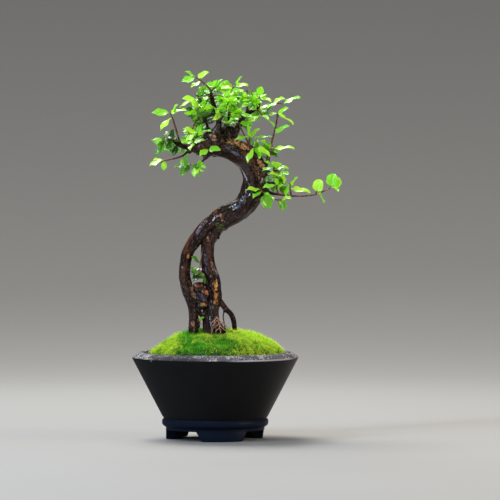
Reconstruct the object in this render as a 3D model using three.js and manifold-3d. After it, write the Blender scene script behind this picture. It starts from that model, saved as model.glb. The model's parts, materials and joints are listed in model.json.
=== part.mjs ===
import * as THREE from "three";
import { mergeVertices } from "three/addons/utils/BufferGeometryUtils.js";
import Module from "manifold-3d";

const wasm = await Module();
wasm.setup();

// Driving dimensions, in millimetres, with the pot's axis at x = 0, y = 0 while the parts are made
const rimRadius = 75;
const rimHeight = 78;
const potBottom = 8.5;
const potFloor = 16;
const wallInside = 64;
const footRadius = 44.4;
const gap = 0.3;
const mossEdgeRadius = 61.5;
const mossEdgeHeight = 78;
const mossRise = 20.5;
const mossThickness = 8;
const mossSlope = 4.8;
const leafThickness = 0.75;

// Colours and finish
const finishes = {
  pot: { color: 0x1b1b1d, roughness: 0.55, metalness: 0 },
  drainMesh: { color: 0x23272a, roughness: 0.6, metalness: 0 },
  soil: { color: 0x4a4038, roughness: 0.95, metalness: 0 },
  moss: { color: 0x6f9a1c, roughness: 0.9, metalness: 0 },
  wood: { color: 0x2b1a12, roughness: 0.35, metalness: 0 },
  leafBright: { color: 0x86c22a, roughness: 0.4, metalness: 0 },
  leafDeep: { color: 0x3f8a26, roughness: 0.4, metalness: 0 },
};

// Seeded random numbers, from 0 to 1
function seededRandom(seed) {
  let state = seed;
  return () => {
    state = (state * 1664525 + 1013904223) % 4294967296;
    return state / 4294967296;
  };
}

// Solids from closed geometry, and back
function toSolid(geometry) {
  const bare = geometry.clone();
  bare.deleteAttribute("normal");
  bare.deleteAttribute("uv");
  const merged = mergeVertices(bare, 1e-4);
  return new wasm.Manifold(new wasm.Mesh({
    numProp: 3,
    vertProperties: new Float32Array(merged.attributes.position.array),
    triVerts: new Uint32Array(merged.index.array),
  }));
}

function geometryOf(positions, triangles) {
  const geometry = new THREE.BufferGeometry();
  geometry.setAttribute("position", new THREE.Float32BufferAttribute(positions, 3));
  geometry.setIndex(triangles);
  return geometry;
}

// The largest body of a solid: loose scraps are dropped and sealed hollows filled
function mainBody(solid) {
  const { vertProperties, triVerts } = solid.getMesh();
  const parent = Array.from({ length: vertProperties.length / 3 }, (_, i) => i);
  const rootOf = (i) => {
    while (parent[i] !== i) {
      parent[i] = parent[parent[i]];
      i = parent[i];
    }
    return i;
  };
  for (let i = 0; i < triVerts.length; i += 3) {
    parent[rootOf(triVerts[i + 1])] = rootOf(triVerts[i]);
    parent[rootOf(triVerts[i + 2])] = rootOf(triVerts[i]);
  }
  const counts = new Map();
  for (const i of triVerts) counts.set(rootOf(i), (counts.get(rootOf(i)) ?? 0) + 1);
  const largest = [...counts.entries()].sort((a, b) => b[1] - a[1])[0][0];
  const kept = [...triVerts].filter((i) => rootOf(i) === largest);
  const numbers = new Map();
  const positions = [];
  const triangles = kept.map((i) => {
    if (!numbers.has(i)) {
      numbers.set(i, numbers.size);
      positions.push(...vertProperties.slice(3 * i, 3 * i + 3));
    }
    return numbers.get(i);
  });
  return geometryOf(positions, triangles);
}

// A closed skin over rings of equal point count, each end closed on a centre point
function skinned(rings, startPoint, endPoint) {
  const sides = rings[0].length;
  const positions = [startPoint, ...rings.flat(), endPoint].flatMap((p) => [p.x, p.y, p.z]);
  const last = 1 + rings.length * sides;
  const triangles = [];
  for (let k = 0; k < sides; k++) {
    const next = (k + 1) % sides;
    triangles.push(0, 1 + next, 1 + k);
    for (let i = 0; i + 1 < rings.length; i++) {
      const low = 1 + i * sides;
      const high = low + sides;
      triangles.push(low + k, low + next, high + next, low + k, high + next, high + k);
    }
    triangles.push(last - sides + k, last - sides + next, last);
  }
  return geometryOf(positions, triangles);
}

// A round body about the pot's axis, from rings of [radius, height] that may change with the angle
function roundBody(rings, segments) {
  const points = rings.map((ring) => Array.from({ length: segments }, (_, k) => {
    const angle = (2 * Math.PI * k) / segments;
    const [radius, height] = ring(angle);
    return new THREE.Vector3(radius * Math.cos(angle), radius * Math.sin(angle), height);
  }));
  const middle = (ring) => new THREE.Vector3(0, 0, ring.reduce((sum, p) => sum + p.z, 0) / segments);
  return skinned(points, middle(points[0]), middle(points.at(-1)));
}

// Pot: a lathe with a sloping lip, straight cone and bead, and three feet joined under it
const potSegments = 32;
const potOutline = [
  [6, potBottom], [footRadius, potBottom], [footRadius, 10.8],
  [45.8, 11.8], [47.5, 14], [47.5, 16.8], [46.2, 18.6], [47.2, 19.8],
  [rimRadius, 73.2], [74.1, 74.9], [71.5, 76.8], [67.5, rimHeight],
  [wallInside, rimHeight], [wallInside, 74], [41.5, potFloor], [6, potFloor], [6, potBottom],
];

// One foot: an arc of the foot ring, narrower at the ground
function footSolid(middleAngle) {
  const steps = 4;
  const halfTop = THREE.MathUtils.degToRad(32);
  const halfGround = THREE.MathUtils.degToRad(25);
  const corner = (radius, half, height, k) => {
    const angle = middleAngle + half * ((2 * k) / steps - 1);
    return new THREE.Vector3(radius * Math.cos(angle), radius * Math.sin(angle), height);
  };
  const inside = footRadius - 8;
  const rings = Array.from({ length: steps + 1 }, (_, k) => [
    corner(inside, halfGround, 0, k), corner(footRadius, halfGround, 0, k),
    corner(footRadius, halfTop, potBottom, k), corner(footRadius - 0.4, halfTop, potBottom + 1.5, k),
    corner(inside, halfTop, potBottom + 1.5, k),
  ]);
  const centre = (ring) => ring.reduce((sum, p) => sum.add(p), new THREE.Vector3()).divideScalar(5);
  return toSolid(skinned(rings.reverse(), centre(rings[0]), centre(rings.at(-1))));
}

function makePot() {
  const outline = potOutline.map(([radius, height]) => new THREE.Vector2(radius, height));
  const lathe = new THREE.LatheGeometry(outline, potSegments);
  lathe.rotateX(Math.PI / 2);
  let pot = toSolid(lathe);
  for (const turn of [-81, 39, 159]) pot = pot.add(footSolid(THREE.MathUtils.degToRad(turn)));
  return mainBody(pot);
}

// Drain mesh: a thin disc with square openings, laid over the drain hole
const drainMeshRadius = 11;
const drainMeshThickness = 1.2;

function makeDrainMesh() {
  const disc = new THREE.CylinderGeometry(drainMeshRadius, drainMeshRadius, drainMeshThickness, 16);
  disc.rotateX(Math.PI / 2);
  disc.translate(0, 0, potFloor + gap + drainMeshThickness / 2);
  let mesh = toSolid(disc);
  const side = 5;
  for (const x of [-0.7 * side, 0.7 * side]) {
    for (const y of [-0.7 * side, 0.7 * side]) {
      const opening = new THREE.BoxGeometry(side, side, side);
      opening.translate(x, y, potFloor + gap);
      mesh = mesh.subtract(toSolid(opening));
    }
  }
  return mainBody(mesh);
}

// Moss: a mound that slopes down to the left, with cushions raised by a formula
function moundHeight(x, y) {
  const share = Math.min(1, Math.hypot(x, y) / mossEdgeRadius);
  return mossEdgeHeight + mossRise * (1 - share ** 2.6) ** 0.8;
}

function mossHeight(x, y) {
  const slope = THREE.MathUtils.smoothstep(-x, 20, 58);
  const broad = Math.sin(x * 0.19 + 1.3) * Math.cos(y * 0.23 - 0.4);
  const fine = Math.sin(x * 0.47 - y * 0.31 + 2.1) * Math.cos(y * 0.43 + x * 0.12);
  return moundHeight(x, y) - mossSlope * slope + 0.6 * broad + 0.6 * fine;
}

const groundSegments = 26;
const groundShares = [1, 0.8, 0.5, 0.2];

function groundRing(share, inset, drop) {
  return (angle) => {
    const radius = share * mossEdgeRadius;
    const height = moundHeight(radius * Math.cos(angle), radius * Math.sin(angle));
    return [radius - inset, height - drop];
  };
}

function makeMoss() {
  const over = [1, 0.93, 0.8, 0.62, 0.42, 0.2].map((share) => (angle) => {
    const radius = share * (mossEdgeRadius + 0.8 * Math.sin(5 * angle) + 0.5 * Math.sin(11 * angle + 1));
    const x = radius * Math.cos(angle);
    const y = radius * Math.sin(angle);
    return [radius, share === 1 ? mossEdgeHeight - 1.2 : mossHeight(x, y)];
  });
  const under = groundShares.toReversed().map((share) => groundRing(share, 1, mossThickness));
  return roundBody([...under, ...over], groundSegments);
}

// Soil: fills the pot around the drain mesh and is heaped under the moss
function makeSoil() {
  const flat = (radius, height) => () => [radius, height];
  const bottom = potFloor + gap;
  return roundBody([
    flat(drainMeshRadius + 0.4, bottom + drainMeshThickness + gap), flat(drainMeshRadius + 0.4, bottom),
    flat(41, bottom), flat(wallInside - 0.6, 73.6), flat(wallInside - 0.6, 75.5),
    flat(mossEdgeRadius + 0.6, 74.5), ...groundShares.map((share) => groundRing(share, 1, mossThickness + gap)),
  ], groundSegments);
}

// Plain holes that the legs and roots stand in: x, y, radius and the height of the hole's bottom
const standingHoles = [
  [-19.5, 3, 5.7, 72.5], [1.5, -2, 9.3, 72.5], [-7.8, 0, 4.3, 93.6], [17.4, -3, 2.8, 93.6], [9.2, -7, 1.5, 93.6],
];

function withHoles(geometry) {
  const top = 110;
  return mainBody(standingHoles.reduce((solid, [x, y, radius, bottom]) => {
    const hole = new THREE.CylinderGeometry(radius, radius, top - bottom, radius > 3 ? 10 : 6);
    hole.rotateX(Math.PI / 2);
    hole.translate(x, y, (top + bottom) / 2);
    return solid.subtract(toSolid(hole));
  }, toSolid(geometry)));
}

// Wood: each limb is a line of [x, y, z, radius] points
const limbs = {
  trunk: { sides: 9, ridges: 0.07, line: [
    [-4, 0, 190, 7.5], [3, 0, 196, 10], [10, 0, 200, 9.6], [19.5, 0, 204.5, 9.4], [27.5, 0, 211, 9.4],
    [32.5, 0, 219.5, 9.9], [35.6, 0, 229.5, 10.4], [35.6, 1, 239.5, 11.4], [29.5, 1, 251.5, 11],
    [20, 1, 257.5, 10], [9.5, 1, 262, 9.5], [-1.5, 0, 264.5, 11.2], [-11, 0, 261.5, 6.8],
    [-18, 0, 262, 4.3], [-25.5, 0, 263, 2.7], [-31.5, -1, 264.2, 2.2], [-38, -2, 268.3, 1.7],
    [-43.5, -3, 271, 1.1],
  ] },
  left_leg: { sides: 7, ridges: 0.06, line: [
    [-19.5, 3, 76, 4.6], [-19.5, 3, 97, 4.7], [-19.5, 3, 107, 4.1], [-20, 3, 116, 4.1],
    [-21.8, 3, 125, 4.9], [-25.4, 2, 136, 5.4], [-27.6, 2, 147.5, 5.2], [-26.7, 1, 159, 4.8],
    [-23.8, 1, 170, 5.3], [-14, 0, 184.5, 6.2], [-5, 0, 193, 7], [3, 0, 197, 7],
  ] },
  right_leg: { sides: 7, ridges: 0.06, line: [
    [1.5, -2, 76, 5.5], [1.5, -2, 97, 7.8], [0, -2, 107, 6.4], [0.3, -2, 116, 5.9], [0.7, -2, 125, 5.6],
    [0, -2, 134, 5.2], [-0.8, -1.5, 142, 5.6], [-3.4, -1, 150, 5.1], [-5.8, -1, 159, 4.9],
    [-6.5, 0, 168, 5.1], [-5.6, 0, 176.5, 5.4], [-2, 0, 184, 6], [3, 0, 193, 7.5],
  ] },
  side_stem: { sides: 5, ridges: 0, line: [
    [-9, 2, 188, 3], [-10.5, 2, 172, 2.3], [-10.6, 2, 158, 2], [-9, 1, 146, 2.3], [-6, 0, 136, 2.6],
  ] },
  middle_root: { sides: 5, ridges: 0, line: [
    [-9.5, 0, 115, 2], [-8.2, 0, 107, 3.2], [-7.8, 0, 98, 3.6], [-7.8, 0, 95.5, 3.4],
  ] },
  burl_root: { sides: 5, ridges: 0, line: [
    [-18, 0, 121, 2.6], [-14, 0, 113.5, 2], [-10.5, 0, 108.5, 2], [-8, 0, 103, 2],
  ] },
  inner_root: { sides: 5, ridges: 0, line: [
    [-5.5, -1, 121, 2.2], [-7.5, -1, 114, 1.8], [-8.5, 0, 107, 2],
  ] },
  leg_root: { sides: 5, ridges: 0, line: [
    [-18.5, 2, 121, 1.6], [-16.2, 1, 110, 1.4], [-14.2, 0, 100.5, 1.4],
  ] },
  aerial_root: { sides: 5, ridges: 0, line: [
    [1.5, -2, 127, 2.6], [5.5, -2, 122.5, 2.7], [9.7, -3, 117, 2.5], [14.2, -3, 112.5, 2.3],
    [16.5, -3, 107, 2.3], [17.4, -3, 101, 2.2], [17.4, -3, 95.5, 2],
  ] },
  rootlet: { sides: 5, ridges: 0, line: [
    [8.4, -3, 118, 1], [7.3, -4, 110, 0.9], [8.4, -6, 103, 0.9], [9.2, -7, 95, 0.8],
  ] },
  upright_branch: { sides: 5, ridges: 0, line: [
    [-3, 0, 264, 8], [-1, -1, 272, 6], [1.5, -2, 278, 3.8], [3.4, -2, 283, 2.6], [2.1, -2, 289, 2.2],
    [0.3, -3, 296, 2], [-2, -3, 303.5, 1.9], [-3.3, -4, 309.5, 1.7], [-3.8, -4, 313.5, 1.5],
  ] },
  right_branch: { sides: 5, ridges: 0, line: [
    [14, -1, 260, 4.5], [17, -2, 272, 3.2], [21.9, -3, 282.7, 2.6], [25, -3, 289, 2.3],
    [29.5, -4, 293, 2.1], [35, -4, 296, 1.9], [39.4, -4, 299, 1.5], [39.4, -5, 304.5, 1.1],
  ] },
  back_left_branch: { sides: 5, ridges: 0, line: [
    [-4, 3, 265, 3.6], [-6.5, 5, 278, 1.8], [-9, 8, 288, 1.4], [-12, 15, 296, 1.2], [-13, 23, 302, 1],
  ] },
  back_right_branch: { sides: 5, ridges: 0, line: [
    [13, 3, 261, 3.6], [17, 9, 274, 2.3], [21, 16, 284, 1.9], [27, 24, 292, 1.5], [33, 32, 299, 1],
  ] },
  centre_branch: { sides: 5, ridges: 0, line: [
    [6, 3, 264, 3.6], [9, 6, 279, 2.2], [12, 9, 290, 1.8], [15, 9, 300, 1.4], [11, 8, 308, 1],
  ] },
  low_back_left: { sides: 5, ridges: 0, line: [
    [-12, 2, 261, 3.6], [-18, 11, 263, 2.2], [-23, 21, 265, 1.7], [-26, 32, 269, 1.1],
  ] },
  low_back_right: { sides: 5, ridges: 0, line: [
    [31, 3, 248, 4.2], [36, 14, 254, 2.4], [38, 25, 257, 1.8], [37, 36, 260, 1.1],
  ] },
  front_branch: { sides: 5, ridges: 0, line: [
    [2.6, -2, 285, 2.1], [6, -11, 289, 1.4], [9, -20, 293, 1.2], [11, -28, 298, 0.9],
  ] },
  front_left_branch: { sides: 5, ridges: 0, line: [
    [-16, 0, 262, 3.4], [-20, -9, 269, 1.4], [-21, -19, 275, 1.2], [-19, -27, 282, 0.9],
  ] },
  red_upright: { sides: 5, ridges: 0, line: [
    [38, -1, 243, 5], [46, -3, 248, 2.2], [48.5, -4, 255, 1.6], [50.5, -5, 262, 1.4], [51.5, -6, 270, 1.2],
    [54, -6, 279, 1.1], [56, -6, 290, 0.9],
  ] },
  inner_red: { sides: 5, ridges: 0, line: [
    [31, -5, 254, 3], [31, -9, 262, 1.3], [29, -10, 268, 1.1], [23, -11, 280, 0.9],
  ] },
  long_right: { sides: 5, ridges: 0, line: [
    [38, -2, 228, 5], [48, -5, 222, 1.8], [58, -7, 220, 1.4], [68, -8, 219, 1.2], [78, -9, 218.8, 1.1],
    [88, -10, 219.8, 1], [95, -11, 222, 0.9], [102, -12, 225.5, 0.9],
  ] },
  low_right_front: { sides: 5, ridges: 0, line: [
    [40, -3, 238, 5], [50, -10, 240, 1.6], [56, -14, 242, 1.1],
  ] },
  low_right_back: { sides: 5, ridges: 0, line: [
    [40, 4, 232, 4], [48, 13, 230, 1.8], [54, 22, 230, 1.5], [57, 31, 232, 1],
  ] },
  drooping_right: { sides: 5, ridges: 0, line: [
    [36, -4, 221, 5], [46, -10, 217, 1.4], [56, -14, 215.5, 0.9],
  ] },
  low_left: { sides: 5, ridges: 0, line: [
    [-6, -3, 258, 4], [-10, -6, 251.5, 1.5], [-14, -8, 248, 1.2], [-19, -9, 246.5, 1],
  ] },
  far_left: { sides: 5, ridges: 0, line: [
    [-20, 1, 261.5, 3], [-27, 3, 256, 1.5], [-34, 4, 253, 1.2], [-42, 5, 251, 1],
  ] },
  left_upright: { sides: 5, ridges: 0, line: [
    [-31, -1, 264, 1.9], [-33, -2, 271, 1.3], [-34.5, -3, 276.5, 1.2], [-36.6, -4, 283.6, 1],
  ] },
  cut_stub: { sides: 5, ridges: 0, line: [
    [29, -4, 292.5, 1.6], [28.8, -3, 303, 1.1], [28.5, -2, 314, 1],
  ] },
  trunk_stub: { sides: 5, ridges: 0, line: [
    [4, -3, 191, 3], [3.3, -4, 184, 1.5], [3, -4, 180, 1.1],
  ] },
};

// Burl between the legs, and the stump that the crown's branches rise from, as squashed balls:
// centre, then half sizes
const lumps = [
  [[-14, -1, 136], [7, 5.6, 5.4]], [[-9.4, -1, 130.5], [6, 5.8, 6.6]], [[-15.8, 0, 126.5], [6, 5.4, 7.2]],
  [[-10.8, -1, 122], [6, 5.2, 6]], [[-4, -1, 268], [9, 9, 8.5]], [[11, 6, 271], [9, 7.5, 11]],
];

// Rootlets that fan out over the flare of the right leg
const rootletFan = [-3.5, 0, 3.6, 7.6].map((x, k) => ({
  sides: 5,
  ridges: 0,
  line: [
    [0.4 + x * 0.2, -7, 114 - (k % 2) * 3, 0.9], [x * 0.5 + 0.6, -9.3, 107, 1], [x * 0.9 + 0.4, -10.8, 100.8, 1],
  ],
}));

function curveOf(line) {
  return new THREE.CatmullRomCurve3(line.map(([x, y, z]) => new THREE.Vector3(x, y, z)), false, "catmullrom");
}

function radiusAlong(line, t) {
  const place = t * (line.length - 1);
  const i = Math.min(Math.floor(place), line.length - 2);
  return THREE.MathUtils.lerp(line[i][3], line[i + 1][3], place - i);
}

// A limb's closed skin. A larger copy, for the hole it stands in, comes from grow
function limbSolid({ line, sides, ridges }, grow = 0) {
  const curve = curveOf(line);
  const count = Math.round((line.length - 1) * (sides > 8 ? 1.15 : 1));
  const side = new THREE.Vector3(0.3, 1, 0.1).normalize();
  const rings = [];
  for (let i = 0; i <= count; i++) {
    const t = i / count;
    const centre = curve.getPoint(t);
    const along = curve.getTangent(t);
    side.addScaledVector(along, -side.dot(along)).normalize();
    const across = new THREE.Vector3().crossVectors(along, side);
    rings.push(Array.from({ length: sides }, (_, k) => {
      const angle = (2 * Math.PI * k) / sides;
      const relief = ridges * (Math.sin(3 * angle + i * 0.7) + 0.5 * Math.sin(5 * angle - i * 1.1));
      const radius = radiusAlong(line, t) * (1 + relief) + grow;
      return centre.clone()
        .addScaledVector(side, radius * Math.cos(angle))
        .addScaledVector(across, radius * Math.sin(angle));
    }));
  }
  const dome = (t, way) => curve.getPoint(t)
    .addScaledVector(curve.getTangent(t), way * (0.5 * radiusAlong(line, t) + grow));
  return toSolid(skinned(rings, dome(0, -1), dome(1, 1)));
}

function lumpSolid([centre, halfSizes], grow = 0) {
  const ball = new THREE.IcosahedronGeometry(1, halfSizes[0] > 8 ? 1 : 0);
  ball.scale(...halfSizes.map((half) => half + grow));
  ball.translate(...centre);
  return toSolid(ball);
}

function woodSolid(grow = 0) {
  const pieces = [...Object.values(limbs), ...rootletFan].map((limb) => limbSolid(limb, grow));
  pieces.push(...lumps.map((lump) => lumpSolid(lump, grow)));
  return pieces.reduce((whole, piece) => whole.add(piece));
}

// Leafy sprays: the limb each one stands on and how far along it, the tip of its twig, the leaves
// with a settled tip and how much of their width shows from the front, from 0 to 1, and how many
// more leaves follow the twig's own rule. Shaded sprays have the deeper green
const sprays = [
  { name: "top_left", on: "upright_branch", at: 1, tip: [-17.5, -8, 325], more: 1,
    leaves: [[-30, -12, 322, 0.75], [-6, -9, 331, 0.7], [-22, -12, 317, 0.4]] },
  { name: "top_left_low", on: "upright_branch", at: 0.84, tip: [-19, -10, 304.5], more: 3,
    leaves: [[-29.5, -12, 307, 0.75], [-33, -13, 299.5, 0.25]] },
  { name: "upper_left", on: "upright_branch", at: 0.72, tip: [-17, -13, 296], more: 5,
    leaves: [[-21, -16, 288, 0.5]] },
  { name: "inner_left", on: "back_left_branch", at: 0.5, tip: [-17, 1, 293], more: 5, leaves: [] },
  { name: "top_centre", on: "upright_branch", at: 0.97, tip: [3, -12, 317], more: 4,
    leaves: [[-9, -12, 320, 0.5], [15, -16, 316, 0.5], [9, -18, 311, 0.3]] },
  { name: "top_right", on: "centre_branch", at: 1, tip: [18.5, 3, 318], more: 2,
    leaves: [[6.5, 0, 322.5, 0.6], [29.5, 0, 319, 0.6], [27, -5, 312.5, 0.5]] },
  { name: "centre_high", on: "upright_branch", at: 0.85, tip: [12, -13, 307], more: 5, leaves: [] },
  { name: "centre_right_high", on: "centre_branch", at: 0.8, tip: [24, -5, 307], more: 5, leaves: [] },
  { name: "centre_front", on: "front_branch", at: 1, tip: [12, -42, 304], more: 5, leaves: [] },
  { name: "centre_low_front", on: "front_branch", at: 0.55, tip: [-3, -30, 297], more: 5, leaves: [] },
  { name: "centre_low", on: "front_branch", at: 0.7, tip: [23, -26, 292], more: 4,
    leaves: [[12, -30, 286, 0.3]] },
  { name: "right_inner", on: "right_branch", at: 0.45, tip: [13, -17, 302], more: 5, leaves: [] },
  { name: "right_high", on: "right_branch", at: 0.86, tip: [31, -18, 304], more: 4,
    leaves: [[23, -18, 299, 0.5]] },
  { name: "right_tip", on: "right_branch", at: 1, tip: [40, -7, 308], more: 1,
    leaves: [[33.5, -9, 312, 0.6], [46, -8, 310.5, 0.3], [50.5, -11, 304.5, 0.5]] },
  { name: "right_out", on: "right_branch", at: 0.8, tip: [61, -12, 301.5], more: 2,
    leaves: [[76, -14, 309.5, 0.35], [61.5, -15, 308, 0.5], [48, -17, 300, 0.6], [40, -18, 297, 0.4]] },
  { name: "right_droop", on: "right_branch", at: 0.74, tip: [42, -17, 291.5], more: 1,
    leaves: [[27.5, -20, 285, 0.5], [54.5, -18, 282.5, 0.2]] },
  { name: "red_top", on: "red_upright", at: 1, tip: [56, -11, 293], more: 0,
    leaves: [[65, -14, 298.5, 0.5], [47, -13, 292, 0.5], [71, -12, 285, 0.3]] },
  { name: "red_middle", on: "red_upright", at: 0.62, tip: [53, -10, 275], more: 0,
    leaves: [[65.5, -14, 283.5, 0.55], [36, -12, 272, 0.25]] },
  { name: "red_low", on: "red_upright", at: 0.4, tip: [52.5, -9, 261], more: 0,
    leaves: [[71, -13, 264, 0.35], [41.5, -11, 269.5, 0.3]] },
  { name: "inner_red_top", on: "inner_red", at: 1, tip: [21, -14, 285], more: 1,
    leaves: [[34, -16, 283.5, 0.6], [9, -16, 285.5, 0.2]] },
  { name: "inner_red_middle", on: "inner_red", at: 0.45, tip: [31, -15, 272], more: 0,
    leaves: [[39, -17, 280, 0.5], [17, -17, 270.5, 0.4], [29.5, -20, 282, 0.5]] },
  { name: "inner_red_low", on: "inner_red", at: 0.2, tip: [37, -20, 263], more: 0,
    leaves: [[50, -22, 256.5, 0.7], [41, -24, 253.5, 0.7], [46, -22, 268, 0.5], [28, -22, 249, 0.6]] },
  { name: "left_up", on: "left_upright", at: 1, tip: [-40.5, -7, 293.5], more: 0,
    leaves: [[-57, -11, 294.5, 0.75], [-35, -9, 302, 0.2], [-50.5, -9, 278.5, 0.55], [-26, -12, 298, 0.3]] },
  { name: "left_end", shaded: true, on: "trunk", at: 1, tip: [-48, -4, 264], more: 3,
    leaves: [[-53, -7, 254, 0.7], [-46, -9, 273, 0.5], [-38, -12, 262, 0.8]] },
  { name: "far_left_tip", on: "far_left", at: 1, tip: [-50, 5, 248.5], more: 2,
    leaves: [[-60, 3, 246.5, 0.4], [-56, -1, 252, 0.3]] },
  { name: "left_front_tip", on: "front_left_branch", at: 1, tip: [-12, -38, 291], more: 5, leaves: [] },
  { name: "left_front_side", on: "front_left_branch", at: 0.5, tip: [-15, -26, 275], more: 1,
    leaves: [[-28, -27, 281, 0.7], [-11, -28, 284, 0.8], [-3.5, -27, 279, 0.3], [-27, -26, 269, 0.6]] },
  { name: "arm_front", on: "trunk", at: 0.76, tip: [-20, -14, 267], more: 1,
    leaves: [[-30, -17, 268, 0.5], [-23, -20, 261, 0.6], [-9, -19, 270, 0.5]] },
  { name: "head_front", shaded: true, on: "trunk", at: 0.7, tip: [-5, -18, 259], more: 0,
    leaves: [[4.5, -22, 262, 0.85], [-14, -22, 256, 0.85]] },
  { name: "low_left_tip", shaded: true, on: "low_left", at: 1, tip: [-27, -10, 246], more: 4,
    leaves: [[-25, -13, 257, 0.7]] },
  { name: "low_left_side", on: "low_left", at: 0.7, tip: [-16, -16, 243], more: 3, leaves: [] },
  { name: "lower_right_high", on: "low_right_front", at: 0.7, tip: [53, -18, 245], more: 1,
    leaves: [[45, -22, 251, 0.4], [59, -21, 248.5, 0.4], [66, -20, 245, 0.35], [42, -23, 242.5, 0.25]] },
  { name: "lower_right_tip", on: "low_right_front", at: 1, tip: [59, -17, 237.5], more: 1,
    leaves: [[63.5, -23, 232, 0.7], [49.5, -22, 241, 0.6], [66, -18, 241, 0.5]] },
  { name: "lower_right_low", on: "long_right", at: 0.26, tip: [55, -15, 228.5], more: 1,
    leaves: [[42, -19, 227.5, 0.55], [60, -19, 230, 0.55], [65, -17, 221.5, 0.25]] },
  { name: "trunk_front_leaf", on: "trunk", at: 0.345, tip: [44, -17, 221], more: 0,
    leaves: [[47, -18, 207.5, 1], [33.5, -21, 218, 0.5], [28, -20, 226, 0.55], [54, -19, 217, 0.3]] },
  { name: "long_middle", on: "long_right", at: 0.43, tip: [67, -13, 230], more: 0,
    leaves: [[73, -15, 237, 0.35], [85.5, -14, 223.5, 0.65], [62.5, -15, 218.5, 0.4]] },
  { name: "long_end", on: "long_right", at: 1, tip: [105.5, -12, 228], more: 0,
    leaves: [[106, -14, 239, 1], [113, -14, 234, 0.9], [110.5, -14, 224.5, 0.4]] },
  { name: "long_end_side", on: "long_right", at: 0.76, tip: [91.5, -14, 223.5], more: 0,
    leaves: [[94.5, -15, 233.5, 1], [99, -16, 213.5, 0.2]] },
  { name: "droop_tip", on: "drooping_right", at: 1, tip: [60, -16, 215.5], more: 0,
    leaves: [[62, -17, 206.5, 0.9], [67.5, -17, 219, 0.4]] },
  { name: "between_legs", shaded: true, on: "side_stem", at: 0.2, tip: [-14.5, -6, 147], more: 1,
    leaves: [[-21, -8, 165, 0.5], [-22, -9, 156, 0.6], [-23, -9, 146, 0.5], [-8, -9, 141, 0.5]] },
  { name: "base_sprout", on: "leg_root", at: 0.62, tip: [-12.5, -5, 103], more: 0,
    leaves: [[-11, -8, 110, 0.8]] },
  { name: "back_top_left", on: "back_left_branch", at: 1, tip: [-9, 33, 312], more: 5, leaves: [] },
  { name: "back_left_high", on: "back_left_branch", at: 0.75, tip: [-15, 32, 291], more: 5, leaves: [] },
  { name: "back_left_inner", on: "back_left_branch", at: 0.6, tip: [-3, 24, 301], more: 5, leaves: [] },
  { name: "back_top", on: "centre_branch", at: 0.75, tip: [10, 24, 313], more: 5, leaves: [] },
  { name: "back_centre", on: "back_right_branch", at: 0.45, tip: [12, 34, 289], more: 5, leaves: [] },
  { name: "back_right_tip", on: "back_right_branch", at: 1, tip: [35, 45, 307], more: 5, leaves: [] },
  { name: "back_right_side", on: "back_right_branch", at: 0.7, tip: [42, 20, 297], more: 5, leaves: [] },
  { name: "back_low_left_tip", on: "low_back_left", at: 1, tip: [-21, 46, 275], more: 5, leaves: [] },
  { name: "back_low_left_side", on: "low_back_left", at: 0.6, tip: [-37, 20, 262], more: 5, leaves: [] },
  { name: "back_low_left_inner", on: "low_back_left", at: 0.55, tip: [-13, 31, 277], more: 5, leaves: [] },
  { name: "back_low_right_tip", on: "low_back_right", at: 1, tip: [34, 50, 264], more: 5, leaves: [] },
  { name: "back_low_right_side", on: "low_back_right", at: 0.6, tip: [50, 23, 258], more: 5, leaves: [] },
  { name: "back_lower_tip", on: "low_right_back", at: 1, tip: [58, 41, 236], more: 5, leaves: [] },
  { name: "back_lower_side", on: "low_right_back", at: 0.55, tip: [61, 16, 229], more: 5, leaves: [] },
];

// A twig: from the limb's middle line, bowed upward a little, to its tip
const twigSteps = 2;
const twigRadius = { root: 0.95, tip: 0.7 };

function twigOf(spray) {
  const host = limbs[spray.on];
  const root = curveOf(host.line).getPoint(spray.at);
  const tip = new THREE.Vector3(...spray.tip);
  const bow = 0.08 * root.distanceTo(tip);
  const pointAt = (t) => root.clone().lerp(tip, t).add(new THREE.Vector3(0, 0, 4 * bow * t * (1 - t)));
  return { root, tip, pointAt, hostRadius: radiusAlong(host.line, spray.at), used: [] };
}

function twigSolid(twig) {
  const line = Array.from({ length: twigSteps + 1 }, (_, i) => {
    const point = twig.pointAt(i / twigSteps);
    return [...point.toArray(), THREE.MathUtils.lerp(twigRadius.root, twigRadius.tip, i / twigSteps)];
  });
  return limbSolid({ line, sides: 3, ridges: 0 });
}

// A leaf blade: half widths as a share of its width at shares of its length
const leafStations = [[0, 0], [0.2, 0.26], [0.48, 0.5], [0.77, 0.35], [1, 0]];
const leafCup = 0.16;
const leafWave = 0.06;

function leafPoint(leaf, t, u, half) {
  const edgeWave = leafWave * leaf.length * Math.sin(9 * t + (u > 0 ? 1.6 : 0)) * Math.abs(u);
  const rise = leaf.bend * leaf.length * t * t + leafCup * Math.abs(u) * half * leaf.width + edgeWave;
  return leaf.root.clone()
    .addScaledVector(leaf.along, leaf.length * t)
    .addScaledVector(leaf.across, u * half * leaf.width)
    .addScaledVector(leaf.up, rise);
}

function leafSolid(leaf) {
  const points = leafStations.flatMap(([t, half]) => {
    const columns = half === 0 ? [0] : [-1, 1];
    return columns.map((u) => leafPoint(leaf, t, u, half));
  });
  const face = [[0, 2, 1], [1, 2, 4], [1, 4, 3], [3, 4, 6], [3, 6, 5], [5, 6, 7]];
  const rim = [0, 2, 4, 6, 7, 5, 3, 1];
  const shift = leaf.up.clone().multiplyScalar(leafThickness / 2);
  const positions = [
    ...points.flatMap((p) => p.clone().add(shift).toArray()),
    ...points.flatMap((p) => p.clone().sub(shift).toArray()),
  ];
  const below = points.length;
  const triangles = face.flatMap(([a, b, c]) => [a, b, c, below + a, below + c, below + b]);
  rim.forEach((a, k) => {
    const b = rim[(k + 1) % rim.length];
    triangles.push(a, below + a, below + b, a, below + b, b);
  });
  return toSolid(geometryOf(positions, triangles));
}

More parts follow.
